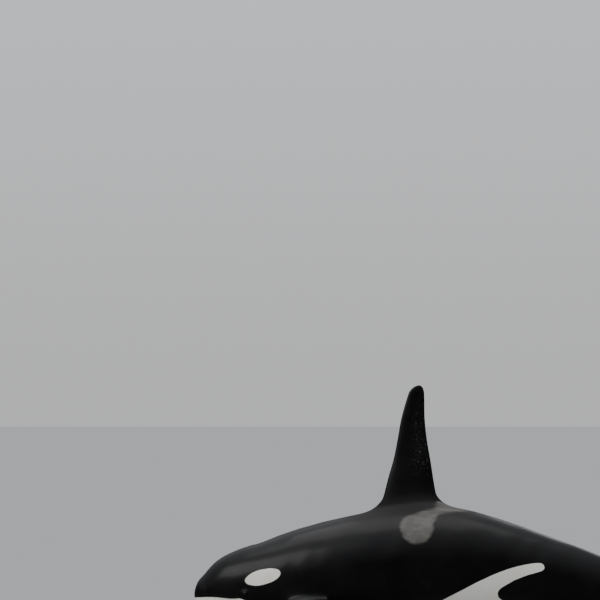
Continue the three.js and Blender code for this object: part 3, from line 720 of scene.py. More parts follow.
def fit_grid(place, grown):
    """Shifts the grid so that each block's border meets its fin, and spreads the shift around."""
    around = 16
    shift = np.zeros_like(place)
    fixed = np.zeros(place.shape[:2], bool)
    for item in grown:
        x, y, z = unpose(item["rings"][0])
        edge = border(*item["block"])
        shift[edge] = np.stack([x / PERCENT, skin_angle(x, y, z)], -1) - place[edge]
        (i0, i1), (c0, c1) = item["block"]
        fixed[i0:i1 + 1, c0:c1 + 1] = True
    for item in grown:
        (i0, i1), (c0, c1) = item["block"]
        rows = (max(i0 - around, 0), min(i1 + around, len(place)))
        relax(shift, fixed, (rows, (c0 - around, c1 + around)))
    return place + shift


def underside(item):
    """How far inside the white of a fluke's underside each point is, less its black border."""
    fin, level, back = item["fin"], item["level"][1:], item["back"][1:]
    if item["name"] != "fluke":
        return np.full(back.shape, -1.0)
    front_room = back - smooth(fin["edges"], 1, level)
    rear_room = smooth(fin["edges"], 2, level) - back
    room = np.minimum(np.minimum(front_room, rear_room), 0.7 * (fin["edges"][-1][0] - level))
    lower = np.sin(item["turn"]) < 0
    inside = np.where(lower, np.abs(room), -np.abs(room)) - fin["border"]
    return np.minimum(inside, level - fin["white"])


def fin_mesh(item, first, root, total):
    """A fin's points, faces and values: its rings joined to the body's border, then the cap."""
    (i0, i1), (c0, c1) = item["block"]
    rings, level = item["rings"][1:], item["level"][1:]
    count, rows, columns = len(first), i1 - i0, c1 - c0
    start = total + len(rings) * count
    ids = np.concatenate([first[None], np.arange(total, start).reshape(-1, count)])
    after = np.roll(ids, -1, 1)
    wall = np.stack([after[:-1], ids[:-1], ids[1:], after[1:]], -1).reshape(-1, 4)

    cap = coons(rings[-1], rows, columns)[1:-1, 1:-1].reshape(-1, 3)
    cap_ids = np.zeros((rows + 1, columns + 1), int)
    cap_ids[1:-1, 1:-1] = start + np.arange(len(cap)).reshape(rows - 1, columns - 1)
    cap_ids[border((0, rows), (0, columns))] = ids[-1]
    lid = quads_between(cap_ids, closed=False).reshape(-1, 4)

    blend = smoothstep(level, 0, 2 * item["fin"]["fillet"])
    run = root["run"] * (1 - blend) + (item["fin"]["at"] * PERCENT + item["back"][1:]) * blend
    upwards = 1 if item["name"] == "dorsal" else -1
    values = {
        "lift": np.broadcast_to(level, run.shape), "run": run, "under": underside(item),
        "girth": root["girth"] + upwards * level, "gape": 0 * run,
        "across": np.broadcast_to(root["across"], run.shape),
        "height": np.broadcast_to(root["height"], run.shape),
    }
    values = {
        key: np.concatenate([v.reshape(-1), np.full(len(cap), v[-1].mean())])
        for key, v in values.items()
    }
    return np.concatenate([rings.reshape(-1, 3), cap]), np.concatenate([wall, lid]), values


def markings(across, height, lift):
    """Signed distances, in metres, inside the white, the saddle and the eye patch. They shrink
    with the height up a fin."""
    marks = np.stack([across, height], -1)
    tilt = math.radians(EYE_PATCH["tilt"])
    off = marks - [EYE_PATCH["at"], EYE_PATCH["height"]]
    a = off[:, 0] * math.cos(tilt) + off[:, 1] * math.sin(tilt)
    b = off[:, 1] * math.cos(tilt) - off[:, 0] * math.sin(tilt)
    oval = np.hypot(a / EYE_PATCH["long"], b / EYE_PATCH["tall"])
    patch = (1 - oval) * EYE_PATCH["tall"] * PERCENT * (1 + 0.3 * np.clip(oval - 1, 0, 1))
    saddle = signed_distance(marks, curve_through(SADDLE_EDGE, 8, True)) * PERCENT
    return {
        "white": signed_distance(marks, white_outline()) * PERCENT - 1.5 * lift,
        "saddle": saddle - 2 * lift,
        "patch": patch - lift,
    }


def rakes_allowed(run, girth):
    """1 where the skin is raked, fading to 0 round the eyes, the blowhole and the mouth."""
    eye = float(skin_angle(EYE_X, flank(EYE_X, EYE_Z), EYE_Z))
    allowed = np.ones(len(run))
    for x, angle in ((EYE_X, eye), (HOLE_X, 0)):
        away = np.hypot(run - x, girth + GIRTH * angle)
        allowed *= smoothstep(away, 0.1, 0.2)
    mouth = np.abs(girth + GIRTH * mouth_angle(run / PERCENT))
    return allowed * np.where(run / PERCENT < MOUTH["back"] + 1, smoothstep(mouth, 0.03, 0.08), 1)


def dull_and_painted_sheen_mask(points, lift, dorsal):
    """1 on the skin at the dorsal fin's root, fading to 0 half a metre along the back and up the
    fin. Water has run off it, so it mirrors the lamps less clearly. On the back the skin's colour
    is also made paler there: a painted sheen."""
    away = np.full(len(points), LENGTH)
    for point in dorsal["rings"][0]:
        away = np.minimum(away, np.linalg.norm(points - point, axis=1))
    return (1 - smoothstep(away, 0.1, 0.5)) * (1 - smoothstep(lift, 0.1, 0.5))


def root_weight(points, lift, grown):
    """How much each point near a fin's root is softened: less with its distance and up the fin,
    so that the fin's thin edges aren't drawn in."""
    weight = np.zeros(len(points))
    for item in grown:
        ring, fillet = item["rings"][0], item["fin"]["fillet"]
        reach_out = item["fin"]["soft"] * fillet
        low, high = ring.min(0) - reach_out, ring.max(0) + reach_out
        near = np.flatnonzero(((points > low) & (points < high)).all(1))
        away = np.full(len(near), reach_out)
        for point in ring:
            away = np.minimum(away, np.linalg.norm(points[near] - point, axis=1))
        held = smoothstep(away, 0.3 * fillet, reach_out)
        above = smoothstep(lift[near], 0.2 * fillet, 1.1 * fillet)
        weight[near] = np.maximum(weight[near], 0.6 * (1 - held) * (1 - above))
    return weight


def soften(points, faces, weight, rounds):
    """Moves points towards the mean of their neighbours by their weight, round after round."""
    start = np.concatenate([f.reshape(-1) for f in faces])
    end = np.concatenate([np.roll(f, -1, 1).reshape(-1) for f in faces])
    used = weight[start] > 0
    start, end = start[used], end[used]
    near = np.flatnonzero(weight > 0)
    count = np.maximum(np.bincount(start, minlength=len(points)), 1)[near, None]
    for _ in range(rounds):
        mean = np.stack([np.bincount(start, points[end, k], len(points)) for k in range(3)], 1)
        points[near] += weight[near, None] * (mean[near] / count - points[near])


def body_grid(at, angle, grown):
    """The body's points, on the grid fitted to the fins, and the values that they carry."""
    place = fit_grid(np.stack([np.broadcast_to(at[:, None], angle.shape), angle], -1), grown)
    along, turn = place[..., 0], place[..., 1]
    body = pose(*skin(along * PERCENT, turn, skin_depth(along, turn) + pockets(along, turn)))
    for item in grown:
        body[border(*item["block"])] = item["rings"][0]
    past_mouth = (np.abs(turn) - mouth_angle(along)) * MOUTH["radian"]
    values = {
        "across": along, "height": skin(along * PERCENT, turn)[2] / PERCENT,
        "run": along * PERCENT, "girth": -GIRTH * np.abs(turn), "lift": 0 * along,
        "under": 0 * along - 1, "gape": mouth_open(along) * bell(past_mouth, MOUTH["dark"]),
    }
    return body.reshape(-1, 3), {key: value.reshape(-1) for key, value in values.items()}


def body_faces(index, grown):
    """The grid's quads outside the fins' blocks."""
    quads = quads_between(index)
    kept = np.ones(quads.shape[:2], bool)
    for item in grown:
        (i0, i1), (c0, c1) = item["block"]
        kept[i0:i1, c0:c1] = False
    return quads[kept]


def build_skin():
    """The whole skin's points, quads, the fans at both tips, and the values of its attributes."""
    at = stations()
    angle = grid_angles(at)
    grown = grow_fins(at, angle)
    body, values = body_grid(at, angle, grown)
    index = np.arange(len(body)).reshape(angle.shape)
    points, faces, lists, total = [body], [body_faces(index, grown)], [values], len(body)
    for item in grown:
        first = index[border(*item["block"])]
        root = {key: value[first] for key, value in values.items()}
        fin_points, fin_faces, fin_values = fin_mesh(item, first, root, total)
        points.append(fin_points)
        faces.append(fin_faces)
        lists.append(fin_values)
        total += len(fin_points)

    points.append(pose(np.array([0, LENGTH]), 0, np.array([TIP_LEVEL * PERCENT, 0])))
    lists.append({
        "across": [0, 100], "height": [TIP_LEVEL, 0], "run": [0, LENGTH], "girth": [0, 0],
        "lift": [0, 0], "under": [-1, -1], "gape": [0, 0],
    })
    fans = end_fans(index, total, total + 1)
    points, quads = np.concatenate(points), np.concatenate(faces)
    values = {key: np.concatenate([part[key] for part in lists]) for key in values}
    soften(points, (quads, fans), root_weight(points, values["lift"], grown), 40)

    values |= markings(values.pop("across"), values.pop("height"), values["lift"])
    values["raked"] = rakes_allowed(values["run"], values["girth"])
    # The mask that dulls the coat beside the dorsal fin also places a painted sheen: a paler tone on
    # the back
    values["dull_and_painted_sheen"] = dull_and_painted_sheen_mask(points, values["lift"], grown[0])
    used = np.zeros(len(points), bool)
    used[quads] = used[fans] = True
    number = np.cumsum(used) - 1
    return points[used], number[quads], number[fans], {k: v[used] for k, v in values.items()}


def put_mesh(name, points, faces, material, values=None):
    """A smooth mesh object at the origin, with its vertex attributes."""
    mesh = bpy.data.meshes.new(name)
    mesh.from_pydata(points.tolist(), [], faces)
    for key, data in (values or {}).items():
        layer = mesh.attributes.new(key, "FLOAT", "POINT")
        layer.data.foreach_set("value", np.asarray(data, np.float32))
    mesh.materials.append(material)
    mesh.shade_smooth()
    mesh.update()
    piece = bpy.data.objects.new(name, mesh)
    bpy.context.scene.collection.objects.link(piece)
    return piece


def outward(points, quads, faces):
    """The faces, turned round where the signed volume under the quads is below 0."""
    a, b, c, d = (points[quads[:, k]] for k in range(4))
    volume = (np.cross(b - a, c - a) * a + np.cross(c - a, d - a) * a).sum()
    return [face[::-1] for face in faces] if volume < 0 else faces


def closed_rings(rings, first=0):
    """Points and outward faces of closed rings with a fan at each end, numbered from first."""
    points = np.concatenate([rings.reshape(-1, 3), rings[0].mean(0)[None], rings[-1].mean(0)[None]])
    total = len(points) - 2
    index = np.arange(total).reshape(rings.shape[:2])
    quads = quads_between(index).reshape(-1, 4)
    fans = end_fans(index, total, total + 1)
    faces = outward(points, quads, quads.tolist() + fans.tolist())
    return points, [[first + i for i in face] for face in faces]


class Nodes:
    """Adds nodes to a tree and joins them by name."""

    def __init__(self, tree):
        self.tree = tree

    def add(self, kind, inputs=(), **settings):
        """A node with its settings, its inputs joined to sockets or set to values."""
        node = self.tree.nodes.new(kind)
        for key, value in settings.items():
            setattr(node, key, value)
        for key, value in dict(inputs).items():
            self.join(value, node.inputs[key])
        return node

    def join(self, value, socket):
        """Joins a socket to another, or sets it to a value."""
        if isinstance(value, bpy.types.NodeSocket):
            self.tree.links.new(value, socket)
        else:
            socket.default_value = value

    def math(self, operation, *values, clamp=False):
        """One step of arithmetic on values."""
        inputs = dict(enumerate(values))
        node = self.add("ShaderNodeMath", inputs, operation=operation, use_clamp=clamp)
        return node.outputs[0]

    def times(self, first, *others):
        """The product of the values."""
        for value in others:
            first = self.math("MULTIPLY", first, value)
        return first

    def plus(self, first, *others):
        """The sum of the values."""
        for value in others:
            first = self.math("ADD", first, value)
        return first

    def ramp(self, value, low, high, to_low=0.0, to_high=1.0):
        """A smooth step of a value from low to high."""
        return self.add("ShaderNodeMapRange", {
            "Value": value, "From Min": low, "From Max": high, "To Min": to_low, "To Max": to_high,
        }, interpolation_type="SMOOTHSTEP").outputs["Result"]

    def between(self, value, start, full, fading, end):
        """1 from full to fading, and 0 before the start and past the end."""
        return self.times(self.ramp(value, start, full), self.ramp(value, end, fading))

    def noise(self, vector, scale, detail=4.0, rough=0.55):
        """Soft noise from 0 to 1, so many waves to the metre."""
        return self.add("ShaderNodeTexNoise", {
            "Vector": vector, "Scale": scale, "Detail": detail, "Roughness": rough,
        }).outputs["Fac"]

    def mix(self, factor, a, b):
        """A colour mixed from a to b, which are the node's seventh and eighth inputs."""
        node = self.add("ShaderNodeMix", {0: factor, 6: a, 7: b}, data_type="RGBA")
        return node.outputs[2]

    def attribute(self, name):
        """A value that the piece's points carry."""
        return self.add("ShaderNodeAttribute", attribute_name=name).outputs["Fac"]

    def stretched(self, vector, scale, turn=0.0):
        """A vector turned about Z and scaled."""
        return self.add("ShaderNodeMapping", {
            "Vector": vector, "Scale": scale, "Rotation": (0, 0, turn),
        }).outputs["Vector"]

    def bump(self, shader, height, strength, distance):
        """A height on the shader's normal."""
        node = self.add("ShaderNodeBump", {
            "Height": height, "Strength": strength, "Distance": distance,
        })
        self.join(node.outputs[0], shader.inputs["Normal"])


def shared_group(name, numbers, outputs, fill):
    """A node group that takes a vector and named numbers and puts out numbers, made once. The fill
    function gets its nodes and inputs and returns what the outputs put out."""
    if name in bpy.data.node_groups:
        return bpy.data.node_groups[name]
    tree = bpy.data.node_groups.new(name, "ShaderNodeTree")
    tree.interface.new_socket("Vector", in_out="INPUT", socket_type="NodeSocketVector")
    for label, default in numbers.items():
        socket = tree.interface.new_socket(label, in_out="INPUT", socket_type="NodeSocketFloat")
        socket.default_value = default
    for label in outputs:
        tree.interface.new_socket(label, in_out="OUTPUT", socket_type="NodeSocketFloat")
    nodes = Nodes(tree)
    given = nodes.add("NodeGroupInput").outputs
    out = nodes.add("NodeGroupOutput").inputs
    for label, value in zip(outputs, fill(nodes, given)):
        nodes.join(value, out[label])
    return tree


def rakes_group():
    """Straight tooth rakes: lines an even pitch apart across Y, each moved by a random share of
    the pitch, broken into runs by noise along X, and kept to patches."""

    def lines(nodes, given, turn, seed):
        """One set of lines, turned about Z and moved along by its seed."""
        vector = nodes.add("ShaderNodeMapping", {
            "Vector": given["Vector"], "Rotation": (0, 0, turn), "Location": (seed, seed, 0),
        }).outputs["Vector"]
        parts = nodes.add("ShaderNodeSeparateXYZ", {"Vector": vector}).outputs
        bend = nodes.times(nodes.noise(vector, 1.5, 1.0), 0.2)
        rank = nodes.math("DIVIDE", nodes.plus(parts["Y"], bend), given["Pitch"])
        line = nodes.math("FLOOR", rank)
        draw = nodes.add("ShaderNodeTexWhiteNoise", {"W": line}, noise_dimensions="1D")
        shift = nodes.math("MULTIPLY_ADD", draw.outputs["Value"], 0.6, 0.2)
        off = nodes.math("ABSOLUTE", nodes.math("SUBTRACT", nodes.math("FRACT", rank), shift))
        thin = nodes.math("SUBTRACT", 1.0, nodes.math("DIVIDE", off, given["Width"]), clamp=True)
        run = nodes.add("ShaderNodeCombineXYZ", {
            "X": nodes.times(parts["X"], 3.2), "Y": nodes.times(line, 0.37),
        }).outputs["Vector"]
        broken = nodes.ramp(nodes.noise(run, 1.0, 2.0), 0.56, 0.74)
        limit = nodes.math("MULTIPLY_ADD", given["Amount"], -0.3, 0.72)
        patchy = nodes.ramp(nodes.math("SUBTRACT", nodes.noise(vector, 1.3, 2.0), limit), 0.0, 0.12)
        return nodes.times(thin, broken, patchy)

    def fill(nodes, given):
        turns_and_seeds = ((0.2, 3.0), (-0.35, 11.0), (0.75, 19.0))
        first, second, third = (lines(nodes, given, *pair) for pair in turns_and_seeds)
        return [nodes.math("MAXIMUM", nodes.math("MAXIMUM", first, second), third)]

    return shared_group("Rakes", {"Pitch": 0.024, "Width": 0.08, "Amount": 0.5}, ("Mask",), fill)


def grain_group():
    """Fine grain: two scales of noise, put out as a height and as a variation of tone."""

    def fill(nodes, given):
        fine = nodes.noise(given["Vector"], given["Fine"], 5.0, 0.6)
        broad = nodes.noise(given["Vector"], given["Broad"], 5.0, 0.6)
        ripple = nodes.noise(nodes.stretched(given["Vector"], (4.0, 9.0, 9.0)), 1.0, 2.0)
        height = nodes.plus(nodes.times(fine, 0.25), ripple)
        return height, nodes.plus(nodes.times(broad, 0.7), nodes.times(fine, 0.3))

    return shared_group("Skin grain", {"Fine": 70.0, "Broad": 2.5}, ("Height", "Tone"), fill)


def new_material(name, **settings):
    """A material with the helper that adds its nodes, its shader, whose sockets are set by name,
    and the coordinates that its patterns read."""
    material = bpy.data.materials.new(name)
    material.use_nodes = True
    material.node_tree.nodes.clear()
    nodes = Nodes(material.node_tree)
    shader = nodes.add("ShaderNodeBsdfPrincipled")
    for key, value in settings.items():
        shader.inputs[key.replace("_", " ")].default_value = value
    nodes.add("ShaderNodeOutputMaterial", {"Surface": shader.outputs[0]})
    here = nodes.add("ShaderNodeTexCoord").outputs["Object"]
    return material, nodes, shader, here


def grouped(nodes, tree, **inputs):
    """The outputs of a group placed in a material with its own values."""
    node = nodes.add("ShaderNodeGroup", node_tree=tree)
    for key, value in inputs.items():
        nodes.join(value, node.inputs[key])
    return node.outputs


def black_skin(nodes, here, grain, rakes, dull_and_painted_sheen, colours):
    """Black skin: duller on the back beside the dorsal fin and painted paler there as a painted
    sheen, faintly specked in patches on the rear half of its blade, and raked."""
    black = nodes.mix(nodes.ramp(grain["Tone"], 0.3, 0.75), colours.black, colours.dark_grey)
    lift, run = nodes.attribute("lift"), nodes.attribute("run")
    # A paler tone painted on the back beside the dorsal fin: a painted sheen of the wet back
    black = nodes.mix(nodes.times(dull_and_painted_sheen, nodes.ramp(lift, 0.06, 0.0)), black, colours.painted_sheen)
    specks = nodes.ramp(nodes.noise(here, 42.0, 3.0, 0.7), 0.55, 0.69)
    patches = nodes.ramp(nodes.noise(nodes.stretched(here, (3.2, 1.0, 1.8)), 1.0, 2.0), 0.36, 0.52)
    behind_middle = nodes.math("SUBTRACT", run, DORSAL["at"] * PERCENT)
    on_fin = nodes.times(nodes.between(lift, *SPECKS_UP), nodes.between(behind_middle, *SPECKS_BACK))
    specks = nodes.times(specks, patches, on_fin)
    black = nodes.mix(nodes.times(specks, 0.9), black, colours.speck)
    return nodes.mix(nodes.times(rakes, 0.55), black, colours.scar)


def saddle_skin(nodes, flat, streaks, rakes, colours):
    """The saddle's grey: smoky near its edge, with paler clouds along its streaks, and raked."""
    deep = nodes.plus(nodes.attribute("saddle"), nodes.times(streaks, 0.8))
    smoky = nodes.mix(nodes.ramp(deep, -0.02, 0.06), colours.smoke, colours.grey)
    cloudy = nodes.noise(nodes.stretched(flat, (5.0, 9.0, 1.0), STREAK_LEAN), 1.0, 4.0, 0.65)
    smoky = nodes.mix(nodes.ramp(cloudy, 0.3, 0.72), smoky, colours.haze)
    return nodes.mix(nodes.times(rakes, 0.6), smoky, colours.dark_grey)


def skin_material(colours):
    """Wet skin: black, white and grey from the signed distances, with soft, uneven edges, raked
    marks laid on the skin's own run and girth, and a coat that dries off beside the fin, where the
    back is painted paler as a painted sheen."""
    material, nodes, shader, here = new_material(
        "Wet orca skin", IOR=1.36, Specular_IOR_Level=0.3, Coat_Roughness=0.16, Coat_IOR=1.33,
    )
    across = nodes.add("ShaderNodeSeparateXYZ", {"Vector": here}).outputs["Y"]
    flat = nodes.add("ShaderNodeCombineXYZ", {
        "X": nodes.attribute("run"), "Y": nodes.attribute("girth"),
        "Z": nodes.ramp(across, -0.03, 0.03, 0.0, 7.0),
    }).outputs["Vector"]
    grain = grouped(nodes, grain_group(), Vector=here)
    rakes = grouped(nodes, rakes_group(), Vector=flat, Pitch=0.026, Width=0.075, Amount=0.66)["Mask"]
    rakes = nodes.times(rakes, nodes.attribute("raked"))
    dull_and_painted_sheen = nodes.attribute("dull_and_painted_sheen")

    def uneven(vector, scale, detail, depth):
        """Noise that reaches half a depth to both sides of 0."""
        return nodes.times(nodes.math("SUBTRACT", nodes.noise(vector, scale, detail), 0.5), depth)

    def inside(name, soft, unevenness):
        """A marking's mask from its signed distance, its edge softened and made uneven."""
        return nodes.ramp(nodes.plus(nodes.attribute(name), unevenness), -soft, soft)

    edge = nodes.plus(uneven(here, 60.0, 3.0, 0.004), uneven(here, 6.0, 2.0, 0.012))
    white = nodes.math("MAXIMUM", inside("white", 0.0035, edge), inside("patch", 0.0035, edge))
    white = nodes.math("MAXIMUM", white, inside("under", 0.012, edge))
    streaks = uneven(nodes.stretched(flat, (2.2, 15.0, 1.0), STREAK_LEAN), 1.0, 3.0, 0.06)
    saddle = inside("saddle", 0.026, nodes.plus(streaks, edge))

    black = black_skin(nodes, here, grain, rakes, dull_and_painted_sheen, colours)
    grey = saddle_skin(nodes, flat, streaks, rakes, colours)
    pale = nodes.mix(nodes.ramp(grain["Tone"], 0.35, 0.75), colours.white, colours.cream)
    pale = nodes.mix(nodes.times(rakes, 0.35), pale, colours.smudge)
    colour = nodes.mix(white, nodes.mix(saddle, black, grey), pale)
    colour = nodes.mix(nodes.times(nodes.attribute("gape"), 0.9), colour, colours.black)
    nodes.join(colour, shader.inputs["Base Color"])

    rough = nodes.ramp(grain["Tone"], 0.3, 0.7, 0.3, 0.42)
    rough = nodes.plus(rough, nodes.times(rakes, 0.12), nodes.times(dull_and_painted_sheen, 0.32))
    nodes.join(rough, shader.inputs["Roughness"])
    nodes.join(nodes.math("MULTIPLY_ADD", dull_and_painted_sheen, -0.2, 0.2), shader.inputs["Coat Weight"])
    height = nodes.math("SUBTRACT", grain["Height"], nodes.times(rakes, 0.25))
    nodes.bump(shader, height, 0.5, 0.0022)
    return material


def eye_material(colours):
    """A dark iris round a pupil, under a clear wet coat."""
    material, nodes, shader, here = new_material(
        "Orca eye", Roughness=0.12, IOR=1.36, Coat_Weight=1.0, Coat_Roughness=0.03, Coat_IOR=1.36,
    )
    ring = nodes.attribute("ring")
    flecks = nodes.noise(here, 380.0, 3.0)
    brown = nodes.mix(flecks, colours.iris_dark, colours.iris_light)
    colour = nodes.mix(nodes.ramp(ring, 0.66, 0.72), brown, colours.sclera)
    colour = nodes.mix(nodes.ramp(ring, 0.26, 0.3), colours.pupil, colour)
    nodes.join(colour, shader.inputs["Base Color"])
    nodes.bump(shader, flecks, 0.15, 0.0004)
    return material


def coat_material(name, dark, light, speckle, roughness, metallic):
    """A coated surface: a fine speckle, a broad drift of tone and the texture of its powder."""
    material, nodes, shader, here = new_material(name, Metallic=metallic)
    grain = grouped(nodes, grain_group(), Vector=here, Fine=speckle, Broad=4.0)
    nodes.join(nodes.mix(grain["Tone"], dark, light), shader.inputs["Base Color"])
    worn = nodes.ramp(grain["Tone"], 0.3, 0.7, roughness, roughness + 0.12)
    nodes.join(worn, shader.inputs["Roughness"])
    nodes.bump(shader, nodes.noise(here, speckle * 6, 2.0), 0.35, 0.0006)
    return material


def colour_prop(name, text, value):
    """A colour that a user can change."""
    return FloatVectorProperty(
        name=name, description=text, default=(*value, 1.0), size=4, min=0, max=1, subtype="COLOR",
    )


def length_prop(name, text, value, least, most):
    """A length in metres that a user can change."""
    return FloatProperty(
        name=name, description=text, default=value, min=least, max=most, unit="LENGTH",
    )


class OrcaColours(bpy.types.PropertyGroup):
    """Colours of the skin and the eyes."""

    black: colour_prop("Black", "The darkest skin", (0.0016, 0.0016, 0.0021))
    dark_grey: colour_prop("Dark grey", "The palest of the black skin", (0.0045, 0.0043, 0.0046))
    # A paler tone painted on the back beside the fin: a painted sheen
    painted_sheen: colour_prop("Painted sheen", "The duller skin of the back beside the fin", (0.018, 0.017, 0.0165))
    scar: colour_prop("Scars", "Raked marks on black skin", (0.045, 0.043, 0.042))
    speck: colour_prop("Specks", "Faint specks up the dorsal fin", (0.066, 0.062, 0.052))
    white: colour_prop("White", "The white markings", (0.76, 0.75, 0.71))
    cream: colour_prop("Cream", "The warmer tone in the white", (0.70, 0.67, 0.59))
    smudge: colour_prop("Smudges", "Marks on white skin", (0.5, 0.48, 0.44))
    grey: colour_prop("Saddle", "The middle of the saddle patch", (0.074, 0.070, 0.0665))
    haze: colour_prop("Saddle haze", "The palest clouds in the saddle patch", (0.128, 0.119, 0.109))
    smoke: colour_prop("Saddle edge", "The saddle patch near its edge", (0.054, 0.0515, 0.049))
    iris_dark: colour_prop("Iris", "The iris's darker tone", (0.012, 0.006, 0.003))
    iris_light: colour_prop("Iris flecks", "The iris's paler tone", (0.045, 0.026, 0.014))
    sclera: colour_prop("White of the eye", "The eyeball round the iris", (0.05, 0.045, 0.042))
    pupil: colour_prop("Pupil", "The pupil", (0.001, 0.001, 0.0012))


class OrcaStand(bpy.types.PropertyGroup):
    """Sizes of the display stand's fittings."""

    bolt: length_prop("Bolt", "Radius of the bolt heads on the flanges", 0.012, 0.006, 0.02)
    pad: length_prop("Pad", "Thickness of the rubber pads on the cradles", 0.012, 0.004, 0.018)
    groove: length_prop("Groove", "Distance of the groove from the base's edge", 0.05, 0.02, 0.12)


def eye_frame(side):
    """The eye's place on the plain skin and its axes: rearwards, out and across."""
    step = 0.001

    def point(x, z):
        x = np.array(float(x))
        return pose(x, side * flank(x, z), z)

    place = point(EYE_X, EYE_Z)
    rear = point(EYE_X + step, EYE_Z) - place
    rear /= np.linalg.norm(rear)
    out = np.cross(point(EYE_X, EYE_Z + step) - place, rear) * side
    out /= np.linalg.norm(out)
    return place, rear, out, np.cross(rear, out)


def eye_surface(side):
    """An eyeball's rings and their tilts: an ellipsoid by tilt and turn from its front, its cornea
    a little raised."""
    place, rear, out, across = eye_frame(side)
    tilt = np.linspace(0.03, np.pi - 0.03, 36)[:, None]
    turn = full_turn(56)
    deep, raised = EYE["deep"], EYE["cornea"]
    forward = (deep + raised * bell(tilt, 0.45)) * np.cos(tilt) - deep - raised + EYE["front"]
    rings = (
        place + (EYE["long"] * np.sin(tilt) * np.cos(turn))[..., None] * rear
        + (EYE["tall"] * np.sin(tilt) * np.sin(turn))[..., None] * across
        + (forward * np.ones_like(turn))[..., None] * out
    )
    return rings, np.broadcast_to(tilt, rings.shape[:2]).reshape(-1)


def lid_surface(side):
    """The lids: an oval patch of the skin's own surface whose height falls into a fold, rises to
    a rim round an almond opening, and turns in behind it against the eyeball."""
    turn = full_turn(120)
    run = np.linspace(0, 1, 46)[:, None]
    outer_rings = 0.8
    c, s = np.cos(turn), np.sin(turn)
    share = 1 - np.clip(run / outer_rings, 0, 1) ** 0.9
    inner = np.clip((run - outer_rings) / (1 - outer_rings), 0, 1)
    almond = 1 - 0.28 * np.abs(c) ** 3
    open_long, open_tall = LID["open_long"], LID["open_tall"] * almond * np.where(s > 0, 1.0, 0.82)
    a = open_long + (LID["long"] - open_long) * share + LID["tuck"] * inner
    b = open_tall + (LID["tall"] - open_tall) * share + LID["tuck"] * inner
    x = EYE_X + a * c - LID["forward"] * (1 - share)
    z = EYE_Z + b * s
    rise = LID["crest"] * bell(share, 0.2) * (1 - smoothstep(inner, 0, 0.55))
    fold = 0.0021 * bell(share - 0.33, 0.055) * (0.35 + 0.65 * np.abs(s))
    outer = 0.0012 * bell(share - 0.62, 0.07) * np.clip(s, 0, 1)
    wrinkle = 0.0005 * np.sin(9 * turn + 3 * np.cos(turn)) * bell(share - 0.2, 0.14)
    height = rise - fold - outer + wrinkle - LID["hem"] * smoothstep(share, 0.85, 1)
    height = height - LID["turn_in"] * smoothstep(inner, 0.1, 1)
    return x, skin_angle(x, side * flank(x, z), z), height


def blowhole_surface():
    """The blowhole: an oval patch of the skin on the ridge. A raised collar runs round the plug,
    and a slit follows the plug's rear edge, its horns pointing forwards."""
    turn = full_turn(128)
    q = BLOWHOLE["reach"] * np.linspace(1, 0.01, 90)[:, None]
    x = HOLE_X + q * BLOWHOLE["long"] * np.cos(turn)
    y = q * BLOWHOLE["wide"] * np.sin(turn)
    wander = 0.035 * np.sin(3 * turn + 1.0) + 0.02 * np.sin(5 * turn)
    rearward = smoothstep(np.cos(turn), -0.2, 0.35)
    slit = BLOWHOLE["slit"] * bell(q - 1 - wander, 0.1) * rearward
    shut = BLOWHOLE["shut"] * bell(q - 1 - wander, 0.12) * (1 - rearward)
    collar = BLOWHOLE["collar"] * bell(q - 1.25, 0.27) * (0.55 + 0.45 * np.cos(turn))
    plug = BLOWHOLE["plug"] * (1 - smoothstep(q, 0, 0.95)) * (1 + 0.3 * q * np.cos(turn))
    hem = BLOWHOLE["hem"] * smoothstep(q, 0.88 * BLOWHOLE["reach"], BLOWHOLE["reach"])
    s = section(x)
    angle = np.sign(y) * np.arcsin(np.clip(np.abs(y) / s["half"], 0, 1) ** (s["square"] / 2))
    return x, angle, collar + plug - slit - shut - hem


def put_patch(name, x, angle, height, filled=False):
    """A patch of black skin that stands off the body by a height, as rings that run inwards, its
    middle filled or left open."""
    rings = pose(*skin(x, angle, skin_depth(x / PERCENT, angle) - height))
    points, total = rings.reshape(-1, 3), angle.size
    index = np.arange(total).reshape(angle.shape)
    quads = quads_between(index).reshape(-1, 4)
    faces = quads.tolist()
    run, girth = np.broadcast_to(x, angle.shape).reshape(-1), -GIRTH * np.abs(angle).reshape(-1)
    if filled:
        faces += end_fans(index, total, total)[len(index[0]):].tolist()
        points = np.concatenate([points, rings[-1].mean(0)[None]])
        run, girth = np.append(run, run[-1]), np.append(girth, girth[-1])
    middle = np.array([points[:, 0].mean(), 0, SPINE_HEIGHT * 0.8])
    faces = outward(points - middle, quads, faces)
    values = dict.fromkeys(("white", "patch", "saddle", "under"), np.full(len(points), -1.0))
    values |= dict.fromkeys(("gape", "lift", "raked", "dull_and_painted_sheen"), 0 * run)
    values |= {"run": run, "girth": girth}
    piece = put_mesh(name, points, faces, bpy.data.materials["Wet orca skin"], values)
    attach(piece, "root")
    return piece


class ORCA_OT_skin(bpy.types.Operator):
    """Build the skin over the whole animal"""

    bl_idname = "orca.skin"
    bl_label = "Skin"

    def execute(self, context):
        points, quads, ends, values = build_skin()
        faces = outward(points, quads, quads.tolist() + ends.tolist())
        piece = put_mesh("orca_skin", points, faces, skin_material(context.scene.orca_colours), values)
        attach(piece, "root")
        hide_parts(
            "head", "lower_jaw", "throat", "eye_patch_left", "eye_patch_right", "shoulders",
            "chest", "back", "saddle_patch", "belly", "loin", "flank_patch", "tail_stock",
            "dorsal_fin", "flipper_left", "flipper_right", "fluke_left", "fluke_right",
        )
        return {"FINISHED"}


